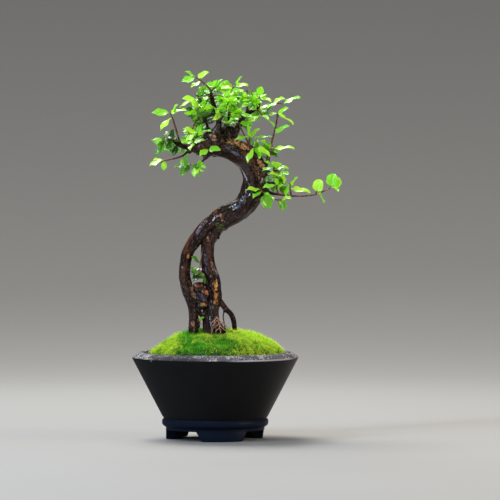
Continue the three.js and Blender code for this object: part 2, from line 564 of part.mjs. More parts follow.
// Places that a leaf takes up, as points over its blade, to keep the leaves apart
const samplePlaces = [0.3, 0.5, 0.7, 0.95].flatMap((t) => [-1, -0.33, 0.33, 1].map((u) => [t, u]));

function bladeSamples(leaf) {
  return samplePlaces.map(([t, u]) => {
    const half = t > 0.9 ? 0.1 : t > 0.6 ? 0.4 : t > 0.4 ? 0.5 : 0.32;
    return leafPoint(leaf, t, u, half);
  });
}

// Everything that a new leaf keeps clear of: balls with an owner
const taken = [];
const clearOfLeaves = 2.7;
const clearOfWood = 1.5;
const clearInSpray = 2.2;
const clearNearTwig = 1.3;

function isClear(samples, owner) {
  return samples.every((p, k) => taken.every((ball) => {
    const own = ball.owner === owner;
    if (own && ball.twig) return true;
    const ownRoom = k < 4 ? clearNearTwig : clearInSpray;
    const room = ball.leaf ? (own ? ownRoom : clearOfLeaves) : clearOfWood;
    return p.distanceToSquared(ball.point) > (ball.radius + room) ** 2;
  }));
}

for (const limb of [...Object.values(limbs), ...rootletFan]) {
  const curve = curveOf(limb.line);
  const steps = Math.ceil(curve.getLength() / 2.5);
  for (let i = 0; i <= steps; i++) {
    taken.push({ point: curve.getPoint(i / steps), radius: radiusAlong(limb.line, i / steps), owner: "wood" });
  }
}
for (const [centre, halfSizes] of lumps) {
  taken.push({ point: new THREE.Vector3(...centre), radius: Math.max(...halfSizes), owner: "wood" });
}
const twigs = sprays.map((spray) => twigOf(spray));
twigs.forEach((twig, index) => {
  for (let i = 1; i <= 12; i++) {
    taken.push({ point: twig.pointAt(i / 12), radius: twigRadius.root, owner: index, twig: true });
  }
});

// The leaf's own axes from where it starts, where it points and which way it faces
function makeLeaf(root, along, facing, length, width, bend) {
  const up = facing.clone().addScaledVector(along, -facing.dot(along)).normalize();
  const across = new THREE.Vector3().crossVectors(along, up);
  return { root, along, across, up, length, width, bend };
}

// A leaf with a settled tip starts on the twig where its length comes nearest to the usual one, and
// is turned about its own line until the given share of its width shows from the front
const usualLength = 12.5;
const twigPlaces = [1, 0.9, 0.8, 0.7, 0.6, 0.5];
const roundFrom = 0.85;

function settledLeaf(twig, [x, y, z, shown], random, attempt) {
  const aim = new THREE.Vector3(x, y + [0, -4, 4, -8, 8, -12, 12][attempt], z);
  const misfit = (place) => Math.abs(twig.pointAt(place).distanceTo(aim) - usualLength);
  const free = twigPlaces.filter((place) => !twig.used.includes(place));
  const place = free.reduce((best, next) => (misfit(next) < misfit(best) ? next : best));
  const root = twig.pointAt(place);
  const length = root.distanceTo(aim);
  const along = aim.clone().sub(root).normalize();
  const front = Math.min(1, Math.max(0, shown + 0.16 * (random() - 0.5)));
  const facing = new THREE.Vector3(-along.z, 0, along.x).normalize();
  facing.multiplyScalar((facing.z < 0 ? -1 : 1) * Math.sqrt(1 - front ** 2)).setY(-front);
  const breadth = shown > roundFrom ? 0.86 : 0.52 + 0.1 * random();
  const width = Math.min(length, 13) * breadth;
  return { ...makeLeaf(root, along, facing, length, width, -0.12), place };
}

// The other leaves alternate along the twig, with one at its end, and turn away if the place is taken
const crownCentre = new THREE.Vector3(8, 4, 262);

function ruledLeaf(twig, share, order, random, attempt) {
  const isLast = share > 0.99;
  const root = twig.pointAt(share);
  const along = twig.tip.clone().sub(twig.root).normalize();
  const outward = root.clone().sub(crownCentre).normalize();
  const up = outward.multiplyScalar(0.45).add(new THREE.Vector3(0, -0.1, 0.9));
  up.addScaledVector(along, -up.dot(along)).normalize();
  const turn = attempt * 0.7 * (attempt % 2 ? 1 : -1) + 0.7 * (random() - 0.5);
  up.applyAxisAngle(along, turn);
  const side = new THREE.Vector3().crossVectors(along, up).multiplyScalar(order % 2 ? 1 : -1);
  const spread = isLast ? 0.3 * (random() - 0.5) : 0.85 + 0.4 * random();
  const direction = along.clone().multiplyScalar(Math.cos(spread))
    .addScaledVector(side, Math.sin(spread))
    .addScaledVector(up, 0.25 * (random() - 0.3))
    .normalize();
  const facing = up.clone().addScaledVector(side, 0.5 * (random() - 0.5));
  const length = (9 + 3.5 * random()) * (attempt > 7 ? 0.75 : 1);
  return makeLeaf(root, direction, facing, length, length * (0.52 + 0.1 * random()), -0.1 - 0.15 * random());
}

function placeLeaf(index, attempts, propose) {
  for (let attempt = 0; attempt < attempts; attempt++) {
    const leaf = propose(attempt);
    const samples = bladeSamples(leaf);
    if (isClear(samples, index)) {
      for (const point of samples) taken.push({ point, radius: 0, owner: index, leaf: true });
      if (leaf.place) twigs[index].used.push(leaf.place);
      return [leaf];
    }
  }
  return [];
}

// Settled leaves first, in every spray, and then the others
const leafSets = sprays.map((spray, index) => {
  const random = seededRandom(1000 + 37 * index);
  return spray.leaves.flatMap((tip) =>
    placeLeaf(index, 7, (attempt) => settledLeaf(twigs[index], tip, random, attempt)));
});
sprays.forEach((spray, index) => {
  const random = seededRandom(5000 + 53 * index);
  const twig = twigs[index];
  const bare = Math.min(0.7, 0.12 + (twig.hostRadius + 2) / twig.root.distanceTo(twig.tip));
  for (let order = 0; order < spray.more; order++) {
    const share = spray.more === 1 ? 1 : bare + ((1 - bare) * order) / (spray.more - 1);
    leafSets[index].push(...placeLeaf(index, 11, (attempt) => ruledLeaf(twig, share, order, random, attempt)));
  }
});

// The whole object
const bonsai = new THREE.Group();

function addPart(name, geometry, finish) {
  geometry.computeVertexNormals();
  const mesh = new THREE.Mesh(geometry, new THREE.MeshStandardMaterial(finish));
  mesh.name = name;
  bonsai.add(mesh);
}

const wood = woodSolid();
const roomForWood = woodSolid(gap);
addPart("pot", makePot(), finishes.pot);
addPart("drain_mesh", makeDrainMesh(), finishes.drainMesh);
addPart("soil", withHoles(makeSoil()), finishes.soil);
addPart("moss", withHoles(makeMoss()), finishes.moss);
addPart("tree_wood", mainBody(wood), finishes.wood);
sprays.forEach((spray, index) => {
  const leaves = leafSets[index].map((leaf) => leafSolid(leaf));
  const whole = leaves.reduce((solid, leaf) => solid.add(leaf), twigSolid(twigs[index]));
  const finish = spray.shaded || spray.name.startsWith("back") ? finishes.leafDeep : finishes.leafBright;
  addPart(`spray_${spray.name}`, mainBody(whole.subtract(roomForWood)), finish);
});

// The origin: under the middle of the whole box, on the ground
const box = new THREE.Box3().setFromObject(bonsai);
bonsai.position.set(-(box.min.x + box.max.x) / 2, -(box.min.y + box.max.y) / 2, -box.min.z);

export default bonsai;
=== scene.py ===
import json
import math

import bmesh
import bpy
import numpy as np
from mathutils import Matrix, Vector, noise
from mathutils.kdtree import KDTree

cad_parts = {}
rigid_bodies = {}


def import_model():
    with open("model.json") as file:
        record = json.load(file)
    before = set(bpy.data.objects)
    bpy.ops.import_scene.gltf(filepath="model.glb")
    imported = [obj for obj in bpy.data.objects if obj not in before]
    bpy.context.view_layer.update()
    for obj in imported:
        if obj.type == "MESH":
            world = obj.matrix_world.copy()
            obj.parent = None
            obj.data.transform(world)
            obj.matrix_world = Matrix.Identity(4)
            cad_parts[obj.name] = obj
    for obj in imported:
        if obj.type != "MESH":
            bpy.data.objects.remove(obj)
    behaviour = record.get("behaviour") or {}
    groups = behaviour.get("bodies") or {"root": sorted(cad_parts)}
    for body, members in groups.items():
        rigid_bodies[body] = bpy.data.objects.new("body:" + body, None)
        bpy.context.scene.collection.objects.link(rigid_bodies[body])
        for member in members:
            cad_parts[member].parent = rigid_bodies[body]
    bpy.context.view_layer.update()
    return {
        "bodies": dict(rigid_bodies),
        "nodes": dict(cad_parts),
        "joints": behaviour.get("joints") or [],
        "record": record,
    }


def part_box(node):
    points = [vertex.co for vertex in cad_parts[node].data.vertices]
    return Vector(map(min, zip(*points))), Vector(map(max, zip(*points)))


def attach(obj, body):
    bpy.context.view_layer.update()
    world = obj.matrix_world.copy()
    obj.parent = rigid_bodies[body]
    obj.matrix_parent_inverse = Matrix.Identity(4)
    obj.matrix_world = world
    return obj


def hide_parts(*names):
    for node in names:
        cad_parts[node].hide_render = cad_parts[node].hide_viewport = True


# A bird plum bonsai in a black footed pot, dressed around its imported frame.
# The tree is laid out in millimetres from the pot's axis, and every mesh is then
# set into the frame in metres.

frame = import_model()
potLow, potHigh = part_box("pot")
millimetre = 0.001
potAxis = np.array([(potLow.x + potHigh.x) / 2, (potLow.y + potHigh.y) / 2, 0.0])


# Random numbers and small sums

def seededRandom(seed):
    state = seed

    def draw():
        nonlocal state
        state = (state * 1664525 + 1013904223) % 4294967296
        return state / 4294967296

    return draw


def smoothStep(value, low, high):
    share = np.clip((value - low) / (high - low), 0, 1)
    return share * share * (3 - 2 * share)


def unit(vector):
    return vector / np.linalg.norm(vector)


def turned(vector, axis, angle):  # a vector turned about a unit axis
    return (vector * math.cos(angle) + np.cross(axis, vector) * math.sin(angle)
            + axis * np.dot(axis, vector) * (1 - math.cos(angle)))


# Mesh building: shaped grids, templates whose copies are placed as arrays, and finished pieces

def shapedGrid(bm, around, along, place):
    # a sheet wrapped by place(turn, step), closed where its edges meet
    made = bmesh.ops.create_grid(bm, x_segments=around, y_segments=along, size=0.5)
    for vert in made["verts"]:
        vert.co = place(vert.co.x + 0.5, round((vert.co.y + 0.5) * along))
    bmesh.ops.remove_doubles(bm, verts=made["verts"], dist=1e-5)


def roundedOutline(corners, steps=5):
    # each corner [radius, height, rounding] becomes an arc of a few points
    outline = []
    count = len(corners)
    for i, (x, z, rounding) in enumerate(corners):
        here = np.array([x, z])
        if rounding == 0:
            outline.append(here)
            continue
        before = unit(np.array(corners[i - 1][:2]) - here)
        after = unit(np.array(corners[(i + 1) % count][:2]) - here)
        for k in range(steps + 1):
            share = k / steps
            outline.append(here + rounding * (before * (1 - share) ** 2 + after * share ** 2))
    return outline


def spunRing(bm, outline, steps, angle=2 * math.pi, start=0.0):
    # a closed outline of [radius, height] turned about the pot's axis
    verts = [bm.verts.new((r * math.cos(start), r * math.sin(start), z)) for r, z in outline]
    edges = [bm.edges.new((verts[i - 1], verts[i])) for i in range(len(verts))]
    isWhole = angle == 2 * math.pi
    bmesh.ops.spin(bm, geom=verts + edges, cent=(0, 0, 0), axis=(0, 0, 1), angle=angle, steps=steps,
                   use_merge=isWhole, use_duplicate=False)
    if not isWhole:
        bmesh.ops.holes_fill(bm, edges=[edge for edge in bm.edges if edge.is_boundary], sides=0)
    bmesh.ops.remove_doubles(bm, verts=bm.verts, dist=1e-4)
    bmesh.ops.recalc_face_normals(bm, faces=bm.faces)


def templateOf(bm):
    # a small shape as plain lists, to be copied many times
    bm.verts.index_update()
    layer = bm.loops.layers.uv.active
    loops = [loop for face in bm.faces for loop in face.loops]
    shape = {
        "points": np.array([vert.co[:] for vert in bm.verts]),
        "faces": [[vert.index for vert in face.verts] for face in bm.faces],
        "blade": np.array([loop[layer].uv[:] if layer else (0.5, 0.5) for loop in loops]),
        "side": np.array([loop.face.material_index for loop in loops], dtype=float),
    }
    bm.free()
    return shape


def intoFrame(points):
    return points * millimetre + potAxis


def meshFromCopies(copies):
    # copies of [template, placed points in mm, tone from 0 to 1, material slot]
    points, faces, slots, blades, tones = [], [], [], [], []
    start = 0
    for template, placed, tone, slot in copies:
        points.append(placed)
        faces.extend([[start + i for i in face] for face in template["faces"]])
        slots.extend([slot] * len(template["faces"]))
        blades.append(template["blade"])
        tones.append(np.column_stack([np.full(len(template["side"]), tone), template["side"]]))
        start += len(placed)
    mesh = bpy.data.meshes.new("copies")
    mesh.from_pydata(intoFrame(np.concatenate(points)).tolist(), [], faces)
    for name, values in (("blade", blades), ("tone", tones)):
        layer = mesh.uv_layers.new(name=name)
        layer.data.foreach_set("uv", np.concatenate(values).astype(np.float32).ravel())
    mesh.polygons.foreach_set("material_index", slots)
    return mesh


def plainMesh(name, bm):
    mesh = bpy.data.meshes.new(name)
    bm.to_mesh(mesh)
    bm.free()
    return mesh


def framedMesh(bm):
    mesh = plainMesh("framed", bm)
    points = np.empty(len(mesh.vertices) * 3)
    mesh.vertices.foreach_get("co", points)
    mesh.vertices.foreach_set("co", intoFrame(points.reshape(-1, 3)).ravel())
    mesh.update()
    return mesh


def linked(name, data):
    thing = bpy.data.objects.new(name, data)
    bpy.context.scene.collection.objects.link(thing)
    return thing


def pieceFrom(name, mesh, materials, nodes=(), sharpAngle=50):
    mesh.name = name
    for material in materials:
        mesh.materials.append(material)
    mesh.polygons.foreach_set("use_smooth", [True] * len(mesh.polygons))
    mesh.set_sharp_from_angle(angle=math.radians(sharpAngle))
    mesh.update()
    piece = linked(name, mesh)
    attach(piece, "root")
    if nodes:
        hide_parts(*nodes)


def applied(mesh, setUp):
    # the mesh after the modifiers that setUp adds to a helper object
    helper = linked("helper", mesh)
    setUp(helper)
    depsgraph = bpy.context.evaluated_depsgraph_get()
    depsgraph.update()
    made = bpy.data.meshes.new_from_object(helper.evaluated_get(depsgraph))
    bpy.data.objects.remove(helper)
    bpy.data.meshes.remove(mesh)
    return made


# Shader sums: a wire is a socket that takes part in Python expressions

class Wire:
    def __init__(self, paint, socket):
        self.paint = paint
        self.socket = socket

    def sum(self, operation, first, second=None):
        values = {0: first} if second is None else {0: first, 1: second}
        return self.paint.add("ShaderNodeMath", {"operation": operation}, values)["Value"]

    def __add__(self, other):
        return self.sum("ADD", self, other)

    def __radd__(self, other):
        return self.sum("ADD", other, self)

    def __sub__(self, other):
        return self.sum("SUBTRACT", self, other)

    def __rsub__(self, other):
        return self.sum("SUBTRACT", other, self)

    def __mul__(self, other):
        return self.sum("MULTIPLY", self, other)

    def size(self):
        return self.sum("ABSOLUTE", self)

    def fraction(self):
        return self.sum("FRACT", self)


class Outputs:
    def __init__(self, paint, node):
        self.paint = paint
        self.node = node

    def __getitem__(self, name):
        return Wire(self.paint, self.node.outputs[name])


class Paint:
    def __init__(self, name):
        self.material = bpy.data.materials.new(name)
        self.material.use_nodes = True
        self.tree = self.material.node_tree
        self.tree.nodes.clear()

    def add(self, kind, settings=None, inputs=None):
        node = self.tree.nodes.new(kind)
        for key, value in (settings or {}).items():
            if key == "stops":
                while len(node.color_ramp.elements) < len(value):
                    node.color_ramp.elements.new(0.5)
                for element, (place, colour) in zip(node.color_ramp.elements, value):
                    element.position = place
                    element.color = (*colour, 1)
            else:
                setattr(node, key, value)
        for key, value in (inputs or {}).items():
            if isinstance(value, Wire):
                self.tree.links.new(value.socket, node.inputs[key])
            else:
                node.inputs[key].default_value = value
        return Outputs(self, node)

    def place(self):  # object coordinates in millimetres
        spot = self.add("ShaderNodeTexCoord")["Object"]
        values = {0: spot, "Scale": 1 / millimetre}
        return self.add("ShaderNodeVectorMath", {"operation": "SCALE"}, values)["Vector"]

    def stretched(self, vector, scale):
        return self.add("ShaderNodeVectorMath", {"operation": "MULTIPLY"}, {0: vector, 1: scale})["Vector"]

    def grain(self, vector, scale, detail=3.0, roughness=0.55, distortion=0.0):
        return self.add("ShaderNodeTexNoise", None, {
            "Vector": vector, "Scale": scale, "Detail": detail, "Roughness": roughness,
            "Distortion": distortion})["Fac"]

    def cells(self, vector, scale):
        return self.add("ShaderNodeTexVoronoi", None, {"Vector": vector, "Scale": scale})["Distance"]

    def fade(self, value, low, high, start=0.0, end=1.0):
        return self.add("ShaderNodeMapRange", {"interpolation_type": "SMOOTHSTEP"}, {
            "Value": value, "From Min": low, "From Max": high, "To Min": start, "To Max": end})["Result"]

    def blend(self, share, first, second):  # a mix of two colours
        first, second = [(*c, 1) if isinstance(c, tuple) else c for c in (first, second)]
        return Wire(self, self.add("ShaderNodeMix", {"data_type": "RGBA"}, {
            0: share, 6: first, 7: second}).node.outputs[2])

    def parts(self, vector):
        split = self.add("ShaderNodeSeparateXYZ", None, {0: vector})
        return split["X"], split["Y"], split["Z"]

    def uvParts(self, name):
        return self.parts(self.add("ShaderNodeUVMap", {"uv_map": name})["UV"])

    def attribute(self, name, output="Fac"):
        return self.add("ShaderNodeAttribute", {"attribute_name": name})[output]

    def upwards(self):  # how far the surface faces up, from -1 to 1
        return self.parts(self.add("ShaderNodeNewGeometry")["Normal"])[2]

    def bump(self, height, distance, strength=1.0, under=None):
        values = {"Height": height, "Distance": distance * millimetre, "Strength": strength}
        if under:
            values["Normal"] = under
        return self.add("ShaderNodeBump", None, values)["Normal"]

    def surface(self, values):
        return self.add("ShaderNodeBsdfPrincipled", None, values)["BSDF"]

    def mixed(self, share, first, second):  # a mix of two shaders
        return self.add("ShaderNodeMixShader", None, {0: share, 1: first, 2: second})["Shader"]

    def finish(self, shader):
        self.add("ShaderNodeOutputMaterial", None, {"Surface": shader})
        return self.material


# The tree: each limb is a line of [x, y, z, radius] points. The thick ones have flutes of their own (ridges),
# and the bark's line is given where the visible wood differs from the line that the leaves keep clear of.

limbs = {
    "trunk": dict(ridges=0.07, line=[
        (-4, 0, 190, 7.5), (3, 0, 196, 10), (10, 0, 200, 9.6), (19.5, 0, 204.5, 9.4), (27.5, 0, 211, 9.4),
        (32.5, 0, 219.5, 9.9), (35.6, 0, 229.5, 10.4), (35.6, 1, 239.5, 11.4), (29.5, 1, 251.5, 11),
        (20, 1, 257.5, 10), (9.5, 1, 262, 9.5), (-1.5, 0, 264.5, 11.2), (-11, 0, 261.5, 6.8),
        (-18, 0, 262, 4.3), (-25.5, 0, 263, 2.7), (-31.5, -1, 264.2, 2.2), (-38, -2, 268.3, 1.7),
        (-43.5, -3, 271, 1.1),
    ]),
    "left_leg": dict(ridges=0.06, line=[
        (-19.5, 3, 76, 4.6), (-19.5, 3, 97, 4.7), (-19.5, 3, 107, 4.1), (-20, 3, 116, 4.1),
        (-21.8, 3, 125, 4.9), (-25.4, 2, 136, 5.4), (-27.6, 2, 147.5, 5.2), (-26.7, 1, 159, 4.8),
        (-23.8, 1, 170, 5.3), (-14, 0, 184.5, 6.2), (-5, 0, 193, 7), (3, 0, 197, 7),
    ]),
    "right_leg": dict(ridges=0.06, bark=[
        (1.5, -2, 76, 5.5), (1, -2, 96, 7.4), (-1, -2, 105, 5.4), (-1.4, -2, 113, 4.6), (-0.6, -2, 121, 5),
        (0.6, -2, 127, 5.5), (0, -2, 134, 5.2), (-0.8, -1.5, 142, 5.6), (-3.4, -1, 150, 5.1),
        (-5.8, -1, 159, 4.9), (-6.5, 0, 168, 5.1), (-5.6, 0, 176.5, 5.4), (-2, 0, 184, 6), (3, 0, 193, 7.5),
    ], line=[
        (1.5, -2, 76, 5.5), (1.5, -2, 97, 7.8), (0, -2, 107, 6.4), (0.3, -2, 116, 5.9),
        (0.7, -2, 125, 5.6), (0, -2, 134, 5.2), (-0.8, -1.5, 142, 5.6), (-3.4, -1, 150, 5.1),
        (-5.8, -1, 159, 4.9), (-6.5, 0, 168, 5.1), (-5.6, 0, 176.5, 5.4), (-2, 0, 184, 6),
        (3, 0, 193, 7.5),
    ]),
    "side_stem": dict(line=[
        (-9, 2, 188, 3), (-10.5, 2, 172, 2.3), (-10.6, 2, 158, 2), (-9, 1, 146, 2.3), (-6, 0, 136, 2.6),
    ]),
    "middle_root": dict(line=[
        (-9.5, 0, 115, 2), (-8.2, 0, 107, 3.2), (-7.8, 0, 98, 3.6), (-7.8, 0, 95.5, 3.4),
    ]),
    "burl_root": dict(line=[
        (-18, 0, 121, 2.6), (-14, 0, 113.5, 2), (-10.5, 0, 108.5, 2), (-8, 0, 103, 2),
    ]),
    "inner_root": dict(line=[
        (-5.5, -1, 121, 2.2), (-7.5, -1, 114, 1.8), (-8.5, 0, 107, 2),
    ]),
    "leg_root": dict(line=[
        (-18.5, 2, 121, 1.6), (-16.2, 1, 110, 1.4), (-14.2, 0, 100.5, 1.4),
    ]),
    "aerial_root": dict(line=[
        (1.5, -2, 127, 2.6), (5.5, -2, 122.5, 2.7), (9.7, -3, 117, 2.5), (14.2, -3, 112.5, 2.3),
        (16.5, -3, 107, 2.3), (17.4, -3, 101, 2.2), (17.4, -3, 95.5, 2),
    ]),
    "rootlet": dict(line=[
        (8.4, -3, 118, 1), (7.3, -4, 110, 0.9), (8.4, -6, 103, 0.9), (9.2, -7, 95, 0.8),
    ]),
    "upright_branch": dict(line=[
        (-3, 0, 264, 8), (-1, -1, 272, 6), (1.5, -2, 278, 3.8), (3.4, -2, 283, 2.6), (2.1, -2, 289, 2.2),
        (0.3, -3, 296, 2), (-2, -3, 303.5, 1.9), (-3.3, -4, 309.5, 1.7), (-3.8, -4, 313.5, 1.5),
    ]),
    "right_branch": dict(line=[
        (14, -1, 260, 4.5), (17, -2, 272, 3.2), (21.9, -3, 282.7, 2.6), (25, -3, 289, 2.3),
        (29.5, -4, 293, 2.1), (35, -4, 296, 1.9), (39.4, -4, 299, 1.5), (39.4, -5, 304.5, 1.1),
    ]),
    "back_left_branch": dict(line=[
        (-4, 3, 265, 3.6), (-6.5, 5, 278, 1.8), (-9, 8, 288, 1.4), (-12, 15, 296, 1.2), (-13, 23, 302, 1),
    ]),
    "back_right_branch": dict(line=[
        (13, 3, 261, 3.6), (17, 9, 274, 2.3), (21, 16, 284, 1.9), (27, 24, 292, 1.5), (33, 32, 299, 1),
    ]),
    "centre_branch": dict(line=[
        (6, 3, 264, 3.6), (9, 6, 279, 2.2), (12, 9, 290, 1.8), (15, 9, 300, 1.4), (11, 8, 308, 1),
    ]),
    "low_back_left": dict(line=[
        (-12, 2, 261, 3.6), (-18, 11, 263, 2.2), (-23, 21, 265, 1.7), (-26, 32, 269, 1.1),
    ]),
    "low_back_right": dict(line=[
        (31, 3, 248, 4.2), (36, 14, 254, 2.4), (38, 25, 257, 1.8), (37, 36, 260, 1.1),
    ]),
    "front_branch": dict(line=[
        (2.6, -2, 285, 2.1), (6, -11, 289, 1.4), (9, -20, 293, 1.2), (11, -28, 298, 0.9),
    ]),
    "front_left_branch": dict(line=[
        (-16, 0, 262, 3.4), (-20, -9, 269, 1.4), (-21, -19, 275, 1.2), (-19, -27, 282, 0.9),
    ]),
    "red_upright": dict(line=[
        (38, -1, 243, 5), (46, -3, 248, 2.2), (48.5, -4, 255, 1.6), (50.5, -5, 262, 1.4),
        (51.5, -6, 270, 1.2), (54, -6, 279, 1.1), (56, -6, 290, 0.9),
    ]),
    "inner_red": dict(line=[
        (31, -5, 254, 3), (31, -9, 262, 1.3), (29, -10, 268, 1.1), (23, -11, 280, 0.9),
    ]),
    "long_right": dict(line=[
        (38, -2, 228, 5), (48, -5, 222, 1.8), (58, -7, 220, 1.4), (68, -8, 219, 1.2), (78, -9, 218.8, 1.1),
        (88, -10, 219.8, 1), (95, -11, 222, 0.9), (102, -12, 225.5, 0.9),
    ]),
    "low_right_front": dict(line=[
        (40, -3, 238, 5), (50, -10, 240, 1.6), (56, -14, 242, 1.1),
    ]),
    "low_right_back": dict(line=[
        (40, 4, 232, 4), (48, 13, 230, 1.8), (54, 22, 230, 1.5), (57, 31, 232, 1),
    ]),
    "drooping_right": dict(line=[
        (36, -4, 221, 5), (46, -10, 217, 1.4), (56, -14, 215.5, 0.9),
    ]),
    "low_left": dict(line=[
        (-6, -3, 258, 4), (-10, -6, 251.5, 1.5), (-14, -8, 248, 1.2), (-19, -9, 246.5, 1),
    ]),
    "far_left": dict(line=[
        (-20, 1, 261.5, 3), (-27, 3, 256, 1.5), (-34, 4, 253, 1.2), (-42, 5, 251, 1),
    ]),
    "left_upright": dict(line=[
        (-31, -1, 264, 1.9), (-33, -2, 271, 1.3), (-34.5, -3, 276.5, 1.2), (-36.6, -4, 283.6, 1),
    ]),
    "cut_stub": dict(line=[
        (29, -4, 292.5, 1.6), (28.8, -3, 303, 1.1), (28.5, -2, 314, 1),
    ]),
    "trunk_stub": dict(line=[
        (4, -3, 191, 3), (3.3, -4, 184, 1.5), (3, -4, 180, 1.1),
    ]),
}

# Burl between the legs, and the stump that the crown's branches rise from: centre and half sizes
lumps = [
    ((-14, -1, 136), (7, 5.6, 5.4)), ((-9.4, -1, 130.5), (6, 5.8, 6.6)), ((-15.8, 0, 126.5), (6, 5.4, 7.2)),
    ((-10.8, -1, 122), (6, 5.2, 6)), ((-4, -1, 268), (9, 9, 8.5)), ((11, 6, 271), (9, 7.5, 11)),
]

# Rootlets over the flare of the right leg, which leaves keep clear of
rootletFan = [dict(line=np.array([
    (0.4 + x * 0.2, -7, 114 - (k % 2) * 3, 0.9), (x * 0.5 + 0.6, -9.3, 107, 1),
    (x * 0.9 + 0.4, -10.8, 100.8, 1),
])) for k, x in enumerate((-3.5, 0, 3.6, 7.6))]

